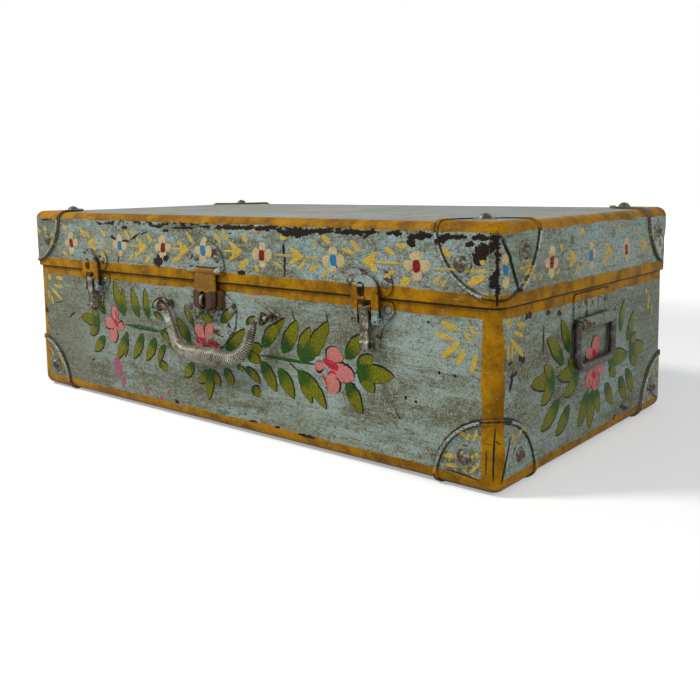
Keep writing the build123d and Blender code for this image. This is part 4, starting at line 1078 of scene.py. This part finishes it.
top_spray = (
    many(touch, [
        (20, -20, 62, -52, 17, 0.04), (24, -10, 86, -34, 19, 0.04), (22, 4, 80, 22, 18, 0.04),
        (12, 14, 40, 54, 17, 0.04), (-12, 16, -34, 56, 17, 0.04), (-24, 4, -84, 24, 18, 0.04),
        (-24, -10, -88, -30, 19, 0.04), (-14, -22, -44, -58, 17, 0.04),
        (92, -40, 130, -62, 13, 0.04), (96, -30, 140, -24, 13, 0.04),
        (-94, -36, -128, -60, 13, 0.04), (-98, -26, -140, -20, 13, 0.04),
    ], coat="faded_leaf", shape="leaf")
    + many(petal, [
        (0, -4, 0, -38, 26), (6, 0, 38, -6, 25), (3, 4, 20, 32, 24), (-5, 4, -20, 32, 24),
        (-6, 0, -38, -8, 25), (-8, -3, 8, 3, 14), (-150, -40, -124, -44, 20),
        (-146, -32, -136, -12, 17), (-142, -46, -130, -66, 17), (-146, -40, -136, -40, 9),
        (150, -40, 124, -44, 20), (146, -32, 136, -12, 17), (142, -46, 130, -66, 17),
        (146, -40, 136, -40, 9),
    ], coat="faded")
)

base_paint = PaintLayer("base")
lid_paint = PaintLayer("lid")
base_paint.spray("front", front_spray + front_gold + front_flakes)
for wall in ("right", "left"):
    base_paint.spray(wall, end_spray + end_gold)
    lid_paint.spray(wall, lid_end_chain)
base_paint.spray("right", end_flakes)
base_paint.spray("back", front_gold)
lid_paint.spray("front", lid_front_chain + lid_front_flakes)
lid_paint.spray("back", lid_front_chain)
lid_paint.spray("top", top_spray)
base_paint.finish("base_painting")
lid_paint.finish("lid_painting")


# ---- Corner rivets ----
# Domed iron rivets through every cap, each in a ring pressed into the tin. The paint has
# gone from their crowns, which are dull grey and brown, with painted shade round them.
def softened(tree, radius):
    """The normal of slightly rounded edges, with the radius in millimetres."""
    return put(tree, "ShaderNodeBevel", {"Radius": radius * mm}, samples=4)


def old_metal(name, pale, dark, brown, amount, metallic, rough):
    """Worn metal: pale where it is rubbed, browned in patches, with painted shade in recesses."""
    material, tree = new_material(name)
    place = in_millimetres(tree)
    patches = even_grain(place, 0.20, 5.0)
    fine = even_grain(place, 0.9, 5.0)
    colour = blend(between(fine, 0.36, 0.62), dark, pale)
    colour = blend(between(patches, 0.58, 0.46) * amount, colour, brown)
    # Painted shade in recesses.
    colour = blend(occlusion_shade(tree, 4, 0.80, 0.35) * 0.88, colour, (0.012, 0.009, 0.006, 1))
    bump = bumped(fine, 0.45, 0.4, Normal=softened(tree, 0.4))
    shine = {"Metallic": metallic, "Specular_IOR_Level": 0.25}
    return surface(material, tree, colour, patches * 0.3 + rough, bump, **shine)


def rivet_places(name):
    """The middle of each rivet of a node, in millimetres, from its separate solids."""
    merged = bmesh.new()
    merged.from_mesh(nodes[name].data)
    bmesh.ops.remove_doubles(merged, verts=merged.verts, dist=0.00002)
    merged.verts.ensure_lookup_table()
    seen, middles = set(), []
    for first in merged.verts:
        if first.index in seen:
            continue
        seen.add(first.index)
        island, front = [], [first]
        while front:
            vertex = front.pop()
            island.append(vertex.co / mm)
            for edge in vertex.link_edges:
                other = edge.other_vert(vertex)
                if other.index not in seen:
                    seen.add(other.index)
                    front.append(other)
        middles.append(sum(island, Vector()) / len(island))
    merged.free()
    return middles


RING_RADIUS = 6.6
RING_THICKNESS = 0.45
RING_STEPS = 32
ring_tree, start = geometry_tree(
    "pressed_ring", radius=RING_RADIUS * mm, thickness=RING_THICKNESS * mm, steps=RING_STEPS
)
round_line = round_section(ring_tree, start["steps"], start["radius"])
one_ring = tube(round_line, round_section(ring_tree, 6, start["thickness"]))
named = "GeometryNodeInputNamedAttribute"
facing = put(ring_tree, named, {"Name": "facing"}, data_type="FLOAT_VECTOR")
turned = put(ring_tree, "FunctionNodeAlignRotationToVector", {"Vector": facing}, axis="Z")
one_each = {"Points": start["Geometry"], "Instance": one_ring, "Rotation": turned}
finish_tree(put(ring_tree, "GeometryNodeInstanceOnPoints", one_each), start)

worn_head = old_metal(
    "worn_rivet_head",
    pale=(0.24, 0.24, 0.20, 1),
    dark=(0.065, 0.058, 0.040, 1),
    brown=(0.045, 0.028, 0.014, 1),
    amount=0.9,
    metallic=0.45,
    rough=0.20,
)
painted_fitting = painted_tin("painted_fitting", fitting=True)
dress(["base_cap_rivets", "lid_cap_rivets"], worn_head)
for kind in ("base", "lid"):
    seats, facings = [], []
    for middle in rivet_places(f"{kind}_cap_rivets"):
        out = outward(middle * mm)
        beside = Vector((out.y, out.z, out.x)) * RING_RADIUS
        found = skins[kind].ray_cast((middle + out * 30 + beside) * mm, -out)[0]
        seats.append(found - beside * mm)
        facings += list(out)
    points = bpy.data.meshes.new(f"{kind}_ring_seats")
    points.from_pydata(seats, [], [])
    points.attributes.new("facing", "FLOAT_VECTOR", "POINT").data.foreach_set("vector", facings)
    pressed = grow(f"{kind}_rivet_rings", points, ring_tree, Material=painted_fitting)
    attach(pressed, kind)

# ---- Lid end rivets ----
# Two small rivets high on each end of the lid, brushed over with the enamel, browned in
# patches, with painted shade at their rims.
painted_head = old_metal(
    "painted_rivet_head",
    pale=(0.22, 0.26, 0.21, 1),
    dark=(0.14, 0.15, 0.11, 1),
    brown=(0.070, 0.045, 0.022, 1),
    amount=0.6,
    metallic=0.05,
    rough=0.40,
)
dress(["lid_end_rivets", "end_handle_rivets"], painted_head)

# ---- Draw catches ----
# A painted plate on the tray carries a steel lever, whose slotted claw hooks a painted
# strike plate on the lid. The levers are rubbed to grey metal; rivets hold both plates.
dull_steel = old_metal(
    "dull_steel",
    pale=(0.36, 0.35, 0.29, 1),
    dark=(0.11, 0.095, 0.068, 1),
    brown=(0.055, 0.032, 0.016, 1),
    amount=0.90,
    metallic=0.45,
    rough=0.26,
)
for hand in ("left", "right"):
    dress([f"catch_{part}_{hand}" for part in ("base", "claw", "strike")], painted_fitting)
    dress([f"catch_{part}_{hand}" for part in ("lever", "lever_pin", "claw_pin")], dull_steel)
dress(["catch_rivets", "strike_rivets"], worn_head)


# ---- Hasp and lock ----
# A hinged iron strap hangs from a domed plate on the lid and drops over a staple on the
# lock plate. Its top is painted ochre with the trunk; its boss and the lock are rust brown.
def strap_iron(name):
    """Ochre paint over the hinge end, and brown iron with dull pits below it."""
    material, tree = new_material(name)
    place = in_millimetres(tree)
    patches = even_grain(place, 0.22, 5.0)
    fine = even_grain(place, 0.9, 5.0)
    iron = blend(between(fine, 0.40, 0.64), (0.030, 0.014, 0.006, 1), (0.085, 0.038, 0.015, 1))
    iron = blend(between(patches, 0.60, 0.72), iron, (0.15, 0.10, 0.06, 1))
    paint = blend(between(patches, 0.72, 0.46), OCHRE, OCHRE_DEEP)
    ragged = parts(place)[2] + (patches - 0.5) * 6.0
    colour = blend(between(ragged, 97.2, 98.2), iron, paint)
    # Painted shade in recesses.
    colour = blend(occlusion_shade(tree, 3, 0.78, 0.40) * 0.85, colour, (0.012, 0.008, 0.005, 1))
    bump = bumped(fine, 0.5, 0.4, Normal=softened(tree, 0.6))
    rough = patches * 0.3 + 0.35
    return surface(material, tree, colour, rough, bump, Specular_IOR_Level=0.20)


dress(["hasp_strap", "lock_case"], strap_iron("brown_iron"))
dress(["hasp_plate", "lock_plate"], painted_fitting)
dress(["hasp_pin", "lock_staple"], dull_steel)
dress(["hasp_rivets"], worn_head)
dress(["lock_rivets"], painted_head)

# ---- Back hinges ----
# Two pairs of stamped leaves on the back, painted over with the trunk, on plain steel pins.
hinge_nodes = [name for name in nodes if name.startswith("hinge_")]
dress([name for name in hinge_nodes if "leaf" in name], painted_fitting)
dress([name for name in hinge_nodes if "pin" in name], dull_steel)
dress([name for name in hinge_nodes if name.endswith("rivets")], worn_head)

# ---- Front handle ----
# A bent steel rod, wound from shoulder to shoulder with wire over a swelling core. The
# left half is filled with old paint, and the right half shows every turn. Each end hangs
# in a wire eye whose spare leg springs up from the wall.
HANDLE_X = 5.0
HANDLE_Y = -130.0
HANDLE_CORNERS = [(-46, 84.5), (-34, 53.5), (34, 53.5), (46, 84.5)]
LEFT_BEND = 18.0
RIGHT_BEND = 26.0
WINDING_START = 0.04
END_GRIP = 2.9
MIDDLE_GRIP = 6.2
WIRE_PITCH = 1.75
WIRE_RADIUS = 0.85
CORE_DEPTH = 0.55
TURN_STEPS = 18
FILLED_TO = -12.0
OPEN_FROM = 22.0


def bent_line(points, radii, step=0.8):
    """The points of a line with rounded corners, evenly spaced."""
    corners_in = [Vector(point) for point in points]
    line = [corners_in[0]]
    for i, radius in enumerate(radii, 1):
        before = (corners_in[i - 1] - corners_in[i]).normalized()
        after = (corners_in[i + 1] - corners_in[i]).normalized()
        half = before.angle(after) / 2
        reach = radius / math.tan(half)
        centre = corners_in[i] + (before + after).normalized() * (radius / math.sin(half))
        first = corners_in[i] + before * reach - centre
        sweep = first.angle_signed(corners_in[i] + after * reach - centre)
        steps = max(2, int(abs(sweep) * radius / step))
        for k in range(steps + 1):
            turned = first.copy()
            turned.rotate(mathutils.Matrix.Rotation(-sweep * k / steps, 2))
            line.append(centre + turned)
    line.append(corners_in[-1])
    even = [line[0]]
    for a, b in zip(line, line[1:]):
        count = max(1, int((b - a).length / step))
        even += [a + (b - a) * (k + 1) / count for k in range(count)]
    return even


grip_line = bent_line(HANDLE_CORNERS, [LEFT_BEND, RIGHT_BEND])
lengths = [0.0]
for a, b in zip(grip_line, grip_line[1:]):
    lengths.append(lengths[-1] + (b - a).length)
path, thickness = [], []
for place, length in zip(grip_line, lengths):
    station = length / lengths[-1]
    if WINDING_START <= station <= 1 - WINDING_START:
        share = 1 - abs(2 * station - 1) / (1 - 2 * WINDING_START)
        swell = share * share * (3 - 2 * share)
        path.append((HANDLE_X + place.x, HANDLE_Y, place.y))
        thickness.append(END_GRIP + (MIDDLE_GRIP - END_GRIP) * swell)

winding_tree, start = geometry_tree(
    "wire_winding",
    pitch=WIRE_PITCH * mm,
    radius=WIRE_RADIUS * mm,
    depth=CORE_DEPTH * mm,
    steps=TURN_STEPS,
)
line = put(winding_tree, "GeometryNodeMeshToCurve", {"Mesh": start["Geometry"]})
whole = put(winding_tree, "GeometryNodeCurveLength", {"Curve": line})
turns = whole.do("DIVIDE", start["pitch"])
finely = {"Curve": line, "Count": turns * start["steps"]}
fine_line = put(winding_tree, "GeometryNodeResampleCurve", finely)
grip = put(winding_tree, named, {"Name": "thickness"}, data_type="FLOAT")
wire_reach = grip - start["radius"]
angle = put(winding_tree, "GeometryNodeSplineParameter", take="Factor") * turns * math.tau
tangent = put(winding_tree, "GeometryNodeInputTangent")
OUT_OF_PLANE = (0.0, 1.0, 0.0)
in_plane = vector("CROSS_PRODUCT", tangent, OUT_OF_PLANE)
offset = vector(
    "ADD",
    stretched(winding_tree, in_plane, angle.do("COSINE") * wire_reach),
    stretched(winding_tree, OUT_OF_PLANE, angle.do("SINE") * wire_reach),
)
helix = put(winding_tree, "GeometryNodeSetPosition", {"Geometry": fine_line, "Offset": offset})
section = round_section(winding_tree, 6, start["radius"])
wire = tube(helix, section, Fill_Caps=True)
where = put(winding_tree, "GeometryNodeInputPosition")
where = put(winding_tree, "ShaderNodeSeparateXYZ", {0: where})
fill = {"Value": where, "From Min": FILLED_TO * mm, "From Max": OPEN_FROM * mm}
fill |= {"To Min": 0.30, "To Max": 1.9}
depth = put(winding_tree, "ShaderNodeMapRange", fill) * start["depth"]
core_section = round_section(winding_tree, 24, 1.0)
core = tube(line, core_section, Scale=grip - depth, Fill_Caps=True)
both = winding_tree.nodes.new("GeometryNodeJoinGeometry")
winding_tree.links.new(wire.socket, both.inputs[0])
winding_tree.links.new(core.socket, both.inputs[0])
finish_tree(Wire(winding_tree, both), start)


def wound_wire(name):
    """Old tinned wire: pale metal and brown paint in patches, with painted shade between the turns.
    """
    material, tree = new_material(name)
    place = in_millimetres(tree)
    patches = even_grain(place, 0.10, 4.0, 0.65)
    fine = even_grain(place, 1.1)
    colour = blend(between(fine, 0.34, 0.62), (0.12, 0.10, 0.065, 1), (0.30, 0.285, 0.215, 1))
    colour = blend(between(patches, 0.54, 0.62), colour, (0.40, 0.43, 0.39, 1))
    colour = blend(between(patches, 0.46, 0.37), colour, (0.095, 0.068, 0.034, 1))
    # Painted shade between the turns.
    painted_shade = occlusion_shade(tree, 1.4, 0.92, 0.55, samples=8)
    colour = blend(painted_shade * 0.90, colour, (0.026, 0.017, 0.009, 1))
    bump = bumped(fine, 0.3, 0.2)
    shine = {"Metallic": 0.35, "Specular_IOR_Level": 0.35}
    return surface(material, tree, colour, fine * 0.3 + 0.22, bump, **shine)


tinned_wire = wound_wire("tinned_wire")
grip_mesh = line_mesh("grip_line", [path], [thickness])
winding = grow("wound_grip", grip_mesh, winding_tree, Material=tinned_wire)
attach(winding, "front_handle")
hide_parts("handle_winding")
dress(["handle_rod", "handle_eye_left", "handle_eye_right"], dull_steel)

LEG_RADIUS = 0.9
LEG_SIDES = 8
spare_legs = [
    [(-46.5, -120.6, 85.0), (-46.8, -124.5, 88.0), (-47.6, -127.0, 92.0), (-49.2, -128.6, 95.6),
     (-51.0, -129.2, 97.4), (-52.8, -128.8, 97.6), (-53.8, -128.0, 96.4)],
    [(63.4, -120.6, 85.6), (61.6, -122.6, 87.4), (58.6, -125.2, 90.4), (55.6, -127.8, 93.6),
     (53.6, -129.2, 95.6), (51.8, -129.6, 96.4), (50.2, -129.2, 95.6)],
]
leg_mesh = line_mesh("spare_leg_lines", spare_legs)
legs = grow(
    "spare_legs", leg_mesh, bead_tree, radius=LEG_RADIUS * mm, sides=LEG_SIDES, Material=tinned_wire
)
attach(legs, "base")

# ---- End handles ----
# A folded plate riveted to each end, painted over, with a hanging loop of dark bronzed rod
# in its rolled edge.
dark_bronze = old_metal(
    "dark_bronze",
    pale=(0.145, 0.140, 0.115, 1),
    dark=(0.035, 0.030, 0.022, 1),
    brown=(0.020, 0.014, 0.009, 1),
    amount=0.6,
    metallic=0.45,
    rough=0.26,
)
dress([name for name in nodes if name.startswith("end_bail")], dark_bronze)
dress([name for name in nodes if name.startswith("end_plate")], painted_fitting)
